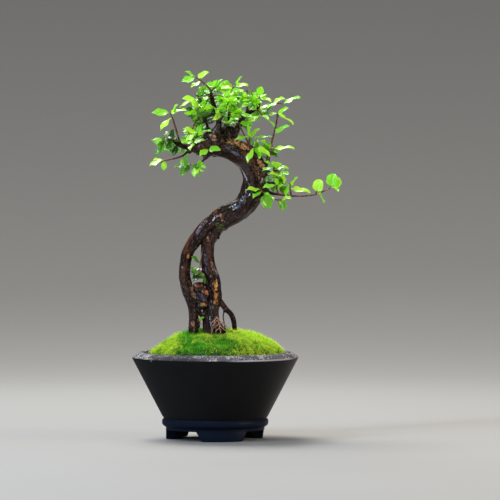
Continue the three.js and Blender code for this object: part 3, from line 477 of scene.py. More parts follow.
# Leafy sprays: the limb each stands on and how far along, the tip of its twig, the leaves with a settled
# tip and the share of their width that shows from the front, and how many more follow the twig's own rule.
# A spray may also say how many small leaves it gets, that it stands in shade and is painted in half shade,
# that it is dark, painted in shade but for its first few lit leaves, or that its round leaves are dim,
# painted in half shade.
usualSpray = dict(leaves=[], more=5, shaded=False, dark=False, lit=0, dimRound=False)
sprays = [
    dict(name="top_left", on="upright_branch", at=1, tip=(-17.5, -8, 325), more=1,
         leaves=[(-30, -12, 322, 0.75), (-6, -9, 331, 0.7), (-22, -12, 317, 0.4)]),
    dict(name="top_left_low", small=2, on="upright_branch", at=0.84, tip=(-19, -10, 304.5), more=3,
         leaves=[(-29.5, -12, 307, 0.75), (-33, -13, 299.5, 0.25)]),
    dict(name="upper_left", small=9, on="upright_branch", at=0.72, tip=(-17, -13, 296), more=5,
         leaves=[(-21, -16, 288, 0.5)]),
    dict(name="inner_left", dark=True, small=16, on="back_left_branch", at=0.5, tip=(-17, 1, 293)),
    dict(name="top_centre", on="upright_branch", at=0.97, tip=(3, -12, 317), more=4,
         leaves=[(-9, -12, 320, 0.5), (15, -16, 316, 0.5), (9, -18, 311, 0.3)]),
    dict(name="top_right", on="centre_branch", at=1, tip=(18.5, 3, 318), more=2,
         leaves=[(6.5, 0, 322.5, 0.6), (29.5, 0, 319, 0.6), (27, -5, 312.5, 0.5)]),
    dict(name="centre_high", on="upright_branch", at=0.85, tip=(12, -13, 307)),
    dict(name="centre_right_high", on="centre_branch", at=0.8, tip=(24, -5, 307)),
    dict(name="centre_front", on="front_branch", at=1, tip=(12, -42, 304)),
    dict(name="centre_low_front", on="front_branch", at=0.55, tip=(-3, -30, 297)),
    dict(name="centre_low", on="front_branch", at=0.7, tip=(23, -26, 292), more=4,
         leaves=[(12, -30, 286, 0.3)]),
    dict(name="right_inner", on="right_branch", at=0.45, tip=(13, -17, 302)),
    dict(name="right_high", on="right_branch", at=0.86, tip=(31, -18, 304), more=4,
         leaves=[(23, -18, 299, 0.5)]),
    dict(name="right_tip", on="right_branch", at=1, tip=(40, -7, 308), more=1,
         leaves=[(33.5, -9, 312, 0.6), (46, -8, 310.5, 0.3), (50.5, -11, 304.5, 0.5)]),
    dict(name="right_out", on="right_branch", at=0.8, tip=(61, -12, 301.5), more=2,
         leaves=[(76, -14, 309.5, 0.35), (61.5, -15, 308, 0.5), (48, -17, 300, 0.6), (40, -18, 297, 0.4)]),
    dict(name="right_droop", on="right_branch", at=0.74, tip=(42, -17, 291.5), more=1,
         leaves=[(27.5, -20, 285, 0.5), (54.5, -18, 282.5, 0.2)]),
    dict(name="red_top", on="red_upright", at=1, tip=(56, -11, 293), more=0,
         leaves=[(65, -14, 298.5, 0.5), (47, -13, 292, 0.5), (71, -12, 285, 0.3)]),
    dict(name="red_middle", on="red_upright", at=0.62, tip=(53, -10, 275), more=0,
         leaves=[(65.5, -14, 283.5, 0.55), (36, -12, 272, 0.25)]),
    dict(name="red_low", on="red_upright", at=0.4, tip=(52.5, -9, 261), more=0,
         leaves=[(71, -13, 264, 0.35), (41.5, -11, 269.5, 0.3)]),
    dict(name="inner_red_top", on="inner_red", at=1, tip=(21, -14, 285), more=1,
         leaves=[(34, -16, 283.5, 0.6), (9, -16, 285.5, 0.2)]),
    dict(name="inner_red_middle", on="inner_red", at=0.45, tip=(31, -15, 272), more=0,
         leaves=[(39, -17, 280, 0.5), (17, -17, 270.5, 0.4), (29.5, -20, 282, 0.5)]),
    dict(name="inner_red_low", on="inner_red", at=0.2, tip=(37, -20, 263), more=0,
         leaves=[(50, -22, 256.5, 0.7), (41, -24, 253.5, 0.7), (46, -22, 268, 0.5), (28, -22, 249, 0.6)]),
    dict(name="left_up", on="left_upright", at=1, tip=(-40.5, -7, 293.5), more=0,
         leaves=[(-57, -11, 294.5, 0.75), (-35, -9, 302, 0.2), (-50.5, -9, 278.5, 0.55),
                 (-26, -12, 298, 0.3)]),
    dict(name="left_end", small=7, shaded=True, on="trunk", at=1, tip=(-48, -4, 264), more=3,
         leaves=[(-53, -7, 254, 0.7), (-46, -9, 273, 0.5), (-38, -12, 262, 0.8)]),
    dict(name="far_left_tip", on="far_left", at=1, tip=(-50, 5, 248.5), more=2,
         leaves=[(-60, 3, 246.5, 0.4), (-56, -1, 252, 0.3)]),
    dict(name="left_front_tip", dark=True, small=8, on="front_left_branch", at=1, tip=(-12, -38, 291)),
    dict(name="left_front_side", on="front_left_branch", at=0.5, tip=(-15, -26, 275), more=1,
         leaves=[(-28, -27, 281, 0.7), (-11, -28, 284, 0.8), (-3.5, -27, 279, 0.3), (-27, -26, 269, 0.6)]),
    dict(name="arm_front", on="trunk", at=0.76, tip=(-20, -14, 267), more=1,
         leaves=[(-30, -17, 268, 0.5), (-23, -20, 261, 0.6), (-9, -19, 270, 0.5)]),
    dict(name="head_front", on="trunk", at=0.7, tip=(-5, -18, 259), more=0,
         leaves=[(4.5, -22, 262, 0.85), (-14, -22, 256, 0.85)]),
    dict(name="low_left_tip", small=5, shaded=True, on="low_left", at=1, tip=(-27, -10, 246), more=4,
         leaves=[(-25, -13, 257, 0.7)]),
    dict(name="low_left_side", on="low_left", at=0.7, tip=(-16, -16, 243), more=3),
    dict(name="lower_right_high", on="low_right_front", at=0.7, tip=(53, -18, 245), more=1,
         leaves=[(45, -22, 251, 0.4), (59, -21, 248.5, 0.4), (66, -20, 245, 0.35), (42, -23, 242.5, 0.25)]),
    dict(name="lower_right_tip", on="low_right_front", at=1, tip=(59, -17, 237.5), more=1,
         leaves=[(63.5, -23, 232, 0.7), (49.5, -22, 241, 0.6), (66, -18, 241, 0.5)]),
    dict(name="lower_right_low", on="long_right", at=0.26, tip=(55, -15, 228.5), more=1,
         leaves=[(42, -19, 227.5, 0.55), (60, -19, 230, 0.55), (65, -17, 221.5, 0.25)]),
    dict(name="trunk_front_leaf", dimRound=True, on="trunk", at=0.345, tip=(44, -17, 221), more=0,
         leaves=[(47, -18, 207.5, 1), (33.5, -21, 218, 0.5), (28, -20, 226, 0.55), (54, -19, 217, 0.3)]),
    dict(name="long_middle", on="long_right", at=0.43, tip=(67, -13, 230), more=0,
         leaves=[(73, -15, 237, 0.35), (85.5, -14, 223.5, 0.65), (62.5, -15, 218.5, 0.4)]),
    dict(name="long_end", on="long_right", at=1, tip=(105.5, -12, 228), more=0,
         leaves=[(106, -14, 239, 1), (113, -14, 234, 0.9), (110.5, -14, 224.5, 0.4)]),
    dict(name="long_end_side", on="long_right", at=0.76, tip=(91.5, -14, 223.5), more=0,
         leaves=[(94.5, -15, 233.5, 1), (99, -16, 213.5, 0.2)]),
    dict(name="droop_tip", dimRound=True, on="drooping_right", at=1, tip=(60, -16, 215.5), more=0,
         leaves=[(62, -17, 206.5, 0.9), (67.5, -17, 219, 0.4)]),
    dict(name="between_legs", dark=True, lit=2, shaded=True, on="side_stem", at=0.2, tip=(-14.5, -6, 147),
         more=1, leaves=[(-21, -8, 165, 0.5), (-22, -9, 156, 0.6), (-23, -9, 146, 0.5), (-8, -9, 141, 0.5)]),
    dict(name="base_sprout", shaded=True, on="leg_root", at=0.62, tip=(-12.5, -5, 103), more=0,
         leaves=[(-11, -8, 110, 0.8)]),
    dict(name="back_top_left", on="back_left_branch", at=1, tip=(-9, 33, 312)),
    dict(name="back_left_high", on="back_left_branch", at=0.75, tip=(-15, 32, 291)),
    dict(name="back_left_inner", on="back_left_branch", at=0.6, tip=(-3, 24, 301)),
    dict(name="back_top", on="centre_branch", at=0.75, tip=(10, 24, 313)),
    dict(name="back_centre", on="back_right_branch", at=0.45, tip=(12, 34, 289)),
    dict(name="back_right_tip", on="back_right_branch", at=1, tip=(35, 45, 307)),
    dict(name="back_right_side", on="back_right_branch", at=0.7, tip=(42, 20, 297)),
    dict(name="back_low_left_tip", on="low_back_left", at=1, tip=(-21, 46, 275)),
    dict(name="back_low_left_side", small=3, on="low_back_left", at=0.6, tip=(-37, 20, 262)),
    dict(name="back_low_left_inner", on="low_back_left", at=0.55, tip=(-13, 31, 277)),
    dict(name="back_low_right_tip", on="low_back_right", at=1, tip=(34, 50, 264)),
    dict(name="back_low_right_side", on="low_back_right", at=0.6, tip=(50, 23, 258)),
    dict(name="back_lower_tip", on="low_right_back", at=1, tip=(58, 41, 236)),
    dict(name="back_lower_side", on="low_right_back", at=0.55, tip=(61, 16, 229)),
]
sprays = [{**usualSpray, **spray} for spray in sprays]


def pointAlong(line, t):  # a smooth curve through the line's points
    points = line[:, :3]
    last = len(points) - 1
    place = last * t
    i = math.floor(place)
    weight = place - i
    if weight == 0 and i == last:
        i, weight = last - 1, 1.0
    one, two = points[i], points[i + 1]
    before = points[i - 1] if i > 0 else 2 * points[0] - points[1]
    after = points[i + 2] if i + 2 <= last else 2 * points[last] - points[last - 1]
    slopeIn, slopeOut = 0.5 * (two - before), 0.5 * (after - one)
    return (one + slopeIn * weight + (-3 * one + 3 * two - 2 * slopeIn - slopeOut) * weight ** 2
            + (2 * one - 2 * two + slopeIn + slopeOut) * weight ** 3)


def tangentAlong(line, t):
    return unit(pointAlong(line, min(t + 1e-4, 1)) - pointAlong(line, max(t - 1e-4, 0)))


def radiusAlong(line, t):
    place = t * (len(line) - 1)
    i = min(math.floor(place), len(line) - 2)
    return line[i][3] + (line[i + 1][3] - line[i][3]) * (place - i)


def curveLength(line, steps=200):
    points = np.array([pointAlong(line, k / steps) for k in range(steps + 1)])
    return float(np.linalg.norm(np.diff(points, axis=0), axis=1).sum())


for limb in limbs.values():
    limb["line"] = np.array(limb["line"], dtype=float)
    limb["bark"] = np.array(limb.get("bark", limb["line"]), dtype=float)


# Pot: a spun wall with a rounded lip and bead, and three feet that are joined under it

potSizes = {
    "steps": 144, "footRadius": 44.4, "footDepth": 8.0, "footInset": 0.4, "footLap": 1.5, "footSteps": 18,
    "bottom": 8.5, "footTurns": (-81, 39, 159), "halfTop": 32, "halfGround": 25,  # degrees
    "footRounding": 0.7, "sharpCorner": 0.6,  # a foot's edges sharper than this, in radians, are rounded
    "chip": (-76.2, -48.6, 72.4),  # a worn spot under the lip, in the frame's millimetres
    "corners": [  # radius, height and rounding
        (6, 8.5, 0.6), (44.4, 8.5, 0.5), (44.4, 10.9, 0.5), (45.6, 11.5, 0.5), (47.9, 13.2, 1.6),
        (47.9, 17.6, 1.6), (46.1, 18.9, 0.5), (47.4, 20.2, 0.8), (75.1, 73.4, 0.5), (72.4, 76.4, 2.2),
        (67.5, 78.2, 1.5), (64, 78, 0.7), (63.9, 74, 0.8), (41.5, 16, 3), (6, 16, 0.6),
    ],
}
# in potColours, foot is a painted bluish reflection on the bead and feet
potColours = {
    "clay": ((0.005, 0.005, 0.006), (0.0105, 0.01, 0.0105)), "foot": (0.004, 0.0075, 0.018),
    "rubbed": (0.016, 0.016, 0.018), "dust": (0.085, 0.08, 0.094), "paleSpeck": (0.43, 0.4, 0.38),
    "darkSpeck": (0.014, 0.012, 0.012), "wornLip": (0.4, 0.41, 0.44), "chip": (0.3, 0.29, 0.28),
}


def clayPaint():
    paint = Paint("matte_black_clay")
    place = paint.place()
    x, y, z = paint.parts(place)
    blotches = paint.grain(place, 0.035, 4.0, 0.6)
    speckles = paint.grain(place, 0.8, 4.0, 0.75)
    drift = paint.grain(place, 0.1, 3.0, 0.65)

    # dust and speckles on the lip, and a painted highlight along the front of the edge under it
    dust = paint.fade(paint.upwards(), 0.3, 0.7) * paint.fade(z, 70.0, 75.0)
    # the dust thins around x = -56, so the lip is darker there
    dust = dust * paint.fade((x + 56).size(), 12.0, 32.0, 0.3, 1.0)
    pale = dust * paint.fade(speckles + (drift - 0.5) * 0.9, 0.53, 0.6)
    specks = dust * paint.fade(speckles + (0.5 - drift) * 0.5, 0.47, 0.39)
    # a painted highlight: a pale line along the lip's outer edge, at the front only
    lipGlint = paint.fade(z, 72.7, 73.1) * paint.fade(z, 74.6, 73.9) * paint.fade(y, -10.0, -35.0)
    lipGlint = lipGlint * paint.fade(x, -12.0, 10.0) * paint.fade(x, 58.0, 44.0)
    toChip = paint.add("ShaderNodeVectorMath", {"operation": "DISTANCE"}, {0: place, 1: potSizes["chip"]})
    chips = paint.fade(paint.cells(place, 0.11), 0.035, 0.02) * paint.fade(z, 66.0, 70.0)
    chips = chips + paint.fade(toChip["Value"] + (speckles - 0.5) * 2.0, 1.0, 0.6)
    rub = paint.fade(paint.grain(place, 0.22, 5.0, 0.7), 0.58, 0.75) * 0.25

    clay = paint.blend(blotches, *potColours["clay"])
    # below 21 mm the bead and feet take the foot colour, a painted bluish reflection, before the dust and
    # specks
    for share, colour in (
            (paint.fade(z, 21.0, 17.0), "foot"), (rub, "rubbed"), (dust, "dust"), (pale, "paleSpeck"),
            (specks, "darkSpeck"), (lipGlint * 0.7, "wornLip"), (chips, "chip")):
        clay = paint.blend(share, clay, potColours[colour])
    fine = paint.grain(place, 1.6, 4.0, 0.65)
    throwing = paint.grain(paint.stretched(place, (0.02, 0.02, 0.8)), 1.0, 2.0)
    return paint.finish(paint.surface({
        "Base Color": clay, "Normal": paint.bump(fine, 0.12, 0.5, paint.bump(throwing, 0.25, 0.35)),
        "Roughness": 0.34 + blotches * 0.16 + dust * 0.4 + paint.fade(x, 5.0, -40.0) * 0.3,
        "Specular IOR Level": 0.06,
    }))


def footBmesh(turn):
    sizes = potSizes
    radius, bottom = sizes["footRadius"], sizes["bottom"]
    inside = radius - sizes["footDepth"]
    top = bottom + sizes["footLap"]
    middle, half = math.radians(turn), math.radians(sizes["halfTop"])
    narrowing = sizes["halfGround"] / sizes["halfTop"]
    outline = [(inside, 0), (radius, 0), (radius, bottom), (radius - sizes["footInset"], top), (inside, top)]
    bm = bmesh.new()
    spunRing(bm, outline, sizes["footSteps"], 2 * half, middle - half)
    for vert in bm.verts:  # narrower at the ground
        angle = math.atan2(vert.co.y, vert.co.x) - middle
        angle = (angle + math.pi) % (2 * math.pi) - math.pi
        share = min(1, vert.co.z / bottom)
        angle *= narrowing + (1 - narrowing) * share ** 1.4
        across = math.hypot(vert.co.x, vert.co.y)
        vert.co = (across * math.cos(middle + angle), across * math.sin(middle + angle), vert.co.z)
    corners = [edge for edge in bm.edges if edge.calc_face_angle(0) > sizes["sharpCorner"]
               and max(vert.co.z for vert in edge.verts) < bottom + 0.1]
    bmesh.ops.bevel(bm, geom=corners, affect="EDGES", offset=sizes["footRounding"], segments=3, profile=0.5,
                    material=-1)
    return bm


def makePot():
    bm = bmesh.new()
    spunRing(bm, roundedOutline(potSizes["corners"]), potSizes["steps"])
    wall = plainMesh("wall", bm)
    feet = [linked("foot", plainMesh("foot", footBmesh(turn))) for turn in potSizes["footTurns"]]

    def joinFeet(helper):
        for foot in feet:
            join = helper.modifiers.new("join", "BOOLEAN")
            join.operation = "UNION"
            join.solver = "EXACT"
            join.object = foot

    whole = applied(wall, joinFeet)
    for foot in feet:
        bpy.data.objects.remove(foot)
    bm = bmesh.new()
    bm.from_mesh(whole)
    pieceFrom("clay_pot", framedMesh(bm), [clayPaint()], ["pot"], 40)


# Drain mesh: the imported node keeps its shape, with a finish of its own

def netPaint():
    paint = Paint("dark_net")
    tone = paint.grain(paint.place(), 0.8, 3.0)
    return paint.finish(paint.surface({
        "Base Color": paint.blend(tone, (0.012, 0.014, 0.016), (0.03, 0.034, 0.038)),
        "Roughness": 0.45 + tone * 0.3, "Normal": paint.bump(tone, 0.1, 0.5),
    }))


def makeNet():
    net = frame["nodes"]["drain_mesh"]
    net.data.materials.clear()
    net.data.materials.append(netPaint())


# Ground: the heights of the soil and of the moss over it

groundSizes = {
    "edgeRadius": 61.5, "edgeHeight": 78.0, "rise": 20.5, "thickness": 8.0,
    "slope": 4.8, "hollow": 4.2,  # how far the moss drops to the left, and in front of the legs
    "hem": 1.0,  # how far its underside stops short of the edge
}


def moundHeight(x, y):
    share = np.minimum(1, np.hypot(x, y) / groundSizes["edgeRadius"])
    return groundSizes["edgeHeight"] + groundSizes["rise"] * (1 - share ** 2.6) ** 0.8


def mossHeight(x, y):
    slope = smoothStep(-x, 20, 58)
    hollow = smoothStep(x, -31, -24) * smoothStep(-x, -15, -8)
    hollow = hollow * smoothStep(-y, -3, 5) * smoothStep(y, -56, -42)
    broad = np.sin(x * 0.19 + 1.3) * np.cos(y * 0.23 - 0.4)
    fine = np.sin(x * 0.47 - y * 0.31 + 2.1) * np.cos(y * 0.43 + x * 0.12)
    drop = groundSizes["slope"] * slope + groundSizes["hollow"] * hollow
    return moundHeight(x, y) - drop + 0.6 * broad + 0.6 * fine


def onCircle(radius, angle):
    return radius * math.cos(angle), radius * math.sin(angle)


def ringUnderMoss(share, gap=0.0):
    # radius and height at an angle, on the face that the moss and the soil share
    def ring(angle):
        radius = share * groundSizes["edgeRadius"]
        height = float(moundHeight(*onCircle(radius, angle))) - groundSizes["thickness"] - gap
        return max(radius - groundSizes["hem"], 0), height
    return ring


def roundBody(rings, around):
    # a closed body about the pot's axis, from rings that each give a radius and a height at an angle
    def place(turn, step):
        angle = 2 * math.pi * turn
        radius, height = rings[step](angle)
        return (*onCircle(radius, angle), height)

    bm = bmesh.new()
    shapedGrid(bm, around, len(rings) - 1, place)
    bmesh.ops.recalc_face_normals(bm, faces=bm.faces)
    mesh = framedMesh(bm)
    mesh.uv_layers.new(name="tone")
    return mesh


# Soil: fills the pot, and shows as a narrow crumbly band inside the lip

soilSizes = {
    "around": 96, "smallest": 0.28, "largest": 1.0, "underMoss": 0.3,
    "lower": [(0, 17.8), (11.4, 17.8), (11.4, 16.3), (41, 16.3), (63.3, 73.6), (63.4, 76.0), (62.3, 76.2)],
    "heap": (0.98, 0.9, 0.8, 0.65, 0.5, 0.35, 0.2, 0.08, 0),  # shares of the mound's radius
}
crumbBands = [  # where loose crumbs lie: beside the moss, and scattered on the sloping lip
    dict(onLip=False, inner=58.5, outer=64.2, height=75.9, count=1900, spread=1.0, size=1.0),
    dict(onLip=True, inner=63.8, outer=73.5, height=78.2, count=620, spread=2.2, size=0.7),
]
lipSlope = {"from": 67.5, "fall": 0.6}


def soilPaint():
    paint = Paint("damp_soil")
    tone = paint.uvParts("tone")[0]
    fine = paint.grain(paint.place(), 1.2, 5.0, 0.7)
    dark = paint.blend(fine, (0.02, 0.015, 0.012), (0.085, 0.062, 0.048))
    pale = paint.blend(fine, (0.1, 0.09, 0.085), (0.23, 0.2, 0.18))
    return paint.finish(paint.surface({
        "Base Color": paint.blend(paint.fade(tone, 0.45, 0.9), dark, pale),
        "Roughness": 0.75 + fine * 0.2, "Normal": paint.bump(fine, 0.3, 0.8),
    }))


def crumbTemplate():
    bm = bmesh.new()
    bmesh.ops.create_icosphere(bm, subdivisions=1, radius=1)
    for vert in bm.verts:
        vert.co *= 1 + 0.28 * noise.noise(vert.co * 1.7)
    return templateOf(bm)


def makeSoil():
    rings = [lambda angle, spot=spot: spot for spot in soilSizes["lower"]]
    rings += [ringUnderMoss(share, soilSizes["underMoss"]) for share in soilSizes["heap"]]
    body = roundBody(rings, soilSizes["around"])
    pieceFrom("potting_soil", body, [soilPaint()], ["soil"])

    random = seededRandom(404)
    crumb = crumbTemplate()
    low, high = soilSizes["smallest"], soilSizes["largest"]
    copies = []
    for band in crumbBands:
        for _ in range(band["count"]):
            angle = 2 * math.pi * random()
            share = random() ** band["spread"]
            radius = band["inner"] + (band["outer"] - band["inner"]) * share
            size = (low + (high - low) * random() ** 2.5) * band["size"]
            drop = lipSlope["fall"] * max(0, radius - lipSlope["from"]) if band["onLip"] else -1.2 * random()
            half = np.array([0.8 + 0.5 * random(), 0.8 + 0.5 * random(), 0.6 + 0.4 * random()]) * size * 0.5
            at = np.array([*onCircle(radius, angle), band["height"] + half[2] * 0.6 - drop])
            copies.append((crumb, crumb["points"] * half + at, random(), 0))
    pieceFrom("soil_grains", meshFromCopies(copies), [soilPaint()])


# Moss: a mound of cushions that thousands of small starry shoots stand on

mossSizes = {
    "around": 180, "rings": 47, "sink": 1.9,  # how far the cushions lie under the shoots' usual tips
    "shoots": 11500, "shapes": 6, "leaflets": 4, "shortest": 1.3, "longest": 3.1,
    "tuft": 4.6, "tuftShare": 0.1,  # some shoots stand out as tufts
    "blades": 9000, "bladeLengths": (2.8, 5.6), "bladeWidth": 3.0,
}
mossColours = {
    "lush": ((0.05, 0.33, 0.01), (0.22, 0.8, 0.022)), "lime": ((0.44, 0.88, 0.02), (0.95, 1.0, 0.12)),
    "foot": (0.014, 0.05, 0.004), "shade": ((0.01, 0.028, 0.003), (0.045, 0.11, 0.008)),
}


def mossSurface(paint, place, patch, green):
    return paint.surface({
        "Base Color": green, "Roughness": 0.55 + patch * 0.2,
        "Normal": paint.bump(paint.grain(place, 1.5, 4.0), 0.4, 0.7),
    })


def cushionPaint():
    paint = Paint("moss_shade")
    place = paint.place()
    patch = paint.grain(place, 0.06, 3.0, 0.6)
    green = paint.blend(paint.grain(place, 0.5, 4.0), *mossColours["shade"])
    return paint.finish(mossSurface(paint, place, patch, green))


def tipPaint():
    paint = Paint("moss_tips")
    place = paint.place()
    tone, tip, _ = paint.uvParts("tone")
    patch = paint.grain(place, 0.06, 3.0, 0.6)
    across, _, height = paint.parts(place)

    # lime where the light falls: on the crest, to the right and at the left edge; painted shade holds it back
    # around x = -41 and x = -16
    sunny = paint.fade(height, 82.0, 95.0) * 0.12 + paint.fade(across, -14.0, 12.0) * 0.27
    sunny = sunny + paint.fade(across, -49.0, -58.0) * 0.2
    sunny = sunny - paint.fade((across + 41).size(), 15.0, 4.0) * 0.12
    sunny = sunny - paint.fade((across + 16).size(), 26.0, 14.0) * 0.09
    lush = paint.blend(tone, *mossColours["lush"])
    lime = paint.blend(tone, *mossColours["lime"])
    green = paint.blend(paint.fade(patch + sunny + (tone - 0.5) * 0.3, 0.5, 0.7), lush, lime)
    green = paint.blend(paint.fade(tip, 0.02, 0.62), mossColours["foot"], green)
    through = paint.add("ShaderNodeBsdfTranslucent", None, {"Color": green})["BSDF"]
    return paint.finish(paint.mixed(0.34, mossSurface(paint, place, patch, green), through))


def mossBase(x, y):
    # cushions a few millimetres across over the mound
    bulges = np.array([
        noise.noise(Vector((a * 0.16, b * 0.16, 3.0))) + 0.5 * noise.noise(Vector((a * 0.4, b * 0.4, 8.0)))
        for a, b in zip(np.ravel(x), np.ravel(y))])
    return mossHeight(x, y) - mossSizes["sink"] + 0.9 * bulges.reshape(np.shape(x))


def mossTop(x, y):
    return float(mossBase(np.array(x), np.array(y)))


def standingHeight(x, y):  # where a shoot stands, also at the moss's edge
    return max(mossTop(x, y), groundSizes["edgeHeight"] - 0.4)


def mossEdge(angle):
    left = (0.5 - 0.5 * np.cos(angle)) ** 3
    return (groundSizes["edgeRadius"] - 0.2 - 3.2 * left + 0.8 * np.sin(5 * angle)
            + 0.5 * np.sin(11 * angle + 1) + 0.35 * np.sin(23 * angle + 2.0))


def shootTemplate(seed):
    # a few pointed leaflets that lean out from one root
    random = seededRandom(seed)
    bm = bmesh.new()
    count = mossSizes["leaflets"]
    for k in range(count):
        made = bmesh.ops.create_cone(bm, cap_ends=True, segments=3, radius1=0.17, radius2=0.0, depth=1.0)
        angle = 2 * math.pi * (k + 0.6 * random()) / count
        lean = 0.12 if k == 0 else 0.35 + 0.55 * random()
        length = 1.0 if k == 0 else 0.6 + 0.35 * random()
        for vert in made["verts"]:
            up = (vert.co.z + 0.5) * length
            x, y = onCircle(up * lean * (1 + 0.4 * up), angle)
            vert.co = (vert.co.x + x, vert.co.y + y, up)
    shape = templateOf(bm)
    shape["side"] = np.array([shape["points"][i][2] for face in shape["faces"] for i in face])
    return shape


def bladeTemplate():
    # one fine stalk of unit height
    bm = bmesh.new()
    bmesh.ops.create_cone(bm, cap_ends=True, segments=3, radius1=0.04, radius2=0.0, depth=1.0)
    bmesh.ops.translate(bm, verts=bm.verts, vec=(0, 0, 0.5))
    shape = templateOf(bm)
    shape["side"] = np.array([0.3 + 0.7 * shape["points"][i][2] for face in shape["faces"] for i in face])
    return shape


def makeCushions():
    last = mossSizes["rings"] - 1
    shares = [1.0, 0.985, 0.97] + [0.955 - 0.955 * k / last for k in range(last + 1)]

    def overRing(share, k):
        def ring(angle):
            radius = share * float(mossEdge(angle))
            if k < 2:  # the edge is rolled under
                return radius, groundSizes["edgeHeight"] - 1.6 + 0.9 * k
            return radius, max(mossTop(*onCircle(radius, angle)), groundSizes["edgeHeight"] - 0.2)
        return ring

    rings = [ringUnderMoss(share) for share in (0, 0.2, 0.5, 0.8, 1)]
    rings += [overRing(share, k) for k, share in enumerate(shares)]
    cushions = roundBody(rings, mossSizes["around"])
    pieceFrom("moss_cushions", cushions, [cushionPaint()], ["moss"])


def makeShoots(tips):
    random = seededRandom(777)
    sizes = mossSizes
    templates = [shootTemplate(50 + k) for k in range(sizes["shapes"])]
    reach = 0.6  # the slope under a shoot is taken this far to either side of it
    copies = []
    for _ in range(sizes["shoots"]):
        angle = 2 * math.pi * random()
        share = math.sqrt(random())
        x, y = onCircle(share * (float(mossEdge(angle)) + 0.6), angle)
        ground = standingHeight(x, y)
        slope = np.array([mossTop(x - reach, y) - mossTop(x + reach, y),
                          mossTop(x, y - reach) - mossTop(x, y + reach), 2 * reach])
        up = unit(unit(slope) + np.array([0.5 * (random() - 0.5), 0.5 * (random() - 0.5), 0.5]))
        if share > 0.97:  # the edge leans out
            up = unit(up + np.array([*onCircle(0.8, angle), 0]))
        side = unit(np.cross(up, (math.cos(7 * angle), math.sin(7 * angle), 0.1)))
        length = sizes["shortest"] + (sizes["longest"] - sizes["shortest"]) * random() ** 1.6
        if random() < sizes["tuftShare"]:
            length = sizes["tuft"] * (0.75 + 0.25 * random())
        if share > 0.94:
            length *= 0.7
        shape = templates[int(random() * (sizes["shapes"] - 0.001))]
        spread = min(length, sizes["longest"]) * (0.85 + 0.4 * random())
        local = shape["points"] * np.array([spread, spread, length])
        placed = local @ np.array([side, np.cross(up, side), up]) + np.array([x, y, ground - 0.25])
        copies.append((shape, placed, random(), 0))
    pieceFrom("moss_shoots", meshFromCopies(copies), [tips])
    return random  # the blades go on with it


def makeBlades(tips, random):
    blade = bladeTemplate()
    low, high = mossSizes["bladeLengths"]
    width = mossSizes["bladeWidth"]
    copies = []
    for _ in range(mossSizes["blades"]):
        angle = 2 * math.pi * random()
        radius = (math.sqrt(random()) * 0.99) * float(mossEdge(angle))
        x, y = onCircle(radius, angle)
        out = 0.5 * radius / groundSizes["edgeRadius"]
        up = unit(np.array([out * math.cos(angle) + 0.7 * (random() - 0.5),
                            out * math.sin(angle) + 0.7 * (random() - 0.5), 1.0]))
        side = unit(np.cross(up, (0.3, 0.9, 0.1)))
        length = low + (high - low) * random() ** 2
        placed = (blade["points"] * (width, width, length)) @ np.array([side, np.cross(up, side), up])
        at = np.array([x, y, standingHeight(x, y)])
        copies.append((blade, placed + at, 0.35 + 0.65 * random(), 0))
    pieceFrom("moss_blades", meshFromCopies(copies), [tips])


def makeMoss():
    makeCushions()
    tips = tipPaint()
    makeBlades(tips, makeShoots(tips))


# Wood: fused limbs with flutes, furrows and knobs, and the colours of its bark with painted highlights

woodSizes = {
    "step": 1.3, "around": 26, "voxel": 0.62, "smoothing": 3,
    "flute": 0.09, "furrow": 0.04, "knob": 0.045,  # depths as shares of the limb's radius
    "wrinkle": 0.2,  # millimetres
    "slim": 0.76,  # what is left of the thinnest limbs' radius
    "neighbours": 10, "blend": 1.2, "leastWeight": 0.03,  # how flutes of limbs that meet are mixed
    "twist": 0.018,  # how far the flutes wind round a limb, in radians a millimetre
    "youngFrom": 200, "youngRadii": (1.0, 1.7),  # slender limbs over this height have young bark
}
barkColours = {
    "dark": ((0.0034, 0.0018, 0.0014), (0.021, 0.0085, 0.0043)),
    "warm": ((0.019, 0.0063, 0.0036), (0.092, 0.027, 0.0115)),
    "dots": ((0.045, 0.04, 0.055), (0.24, 0.09, 0.06)), "young": ((0.03, 0.012, 0.007), (0.36, 0.1, 0.06)),
    "fleck": (0.02, 0.007, 0.004), "furrow": (0.0016, 0.0013, 0.0013),
}
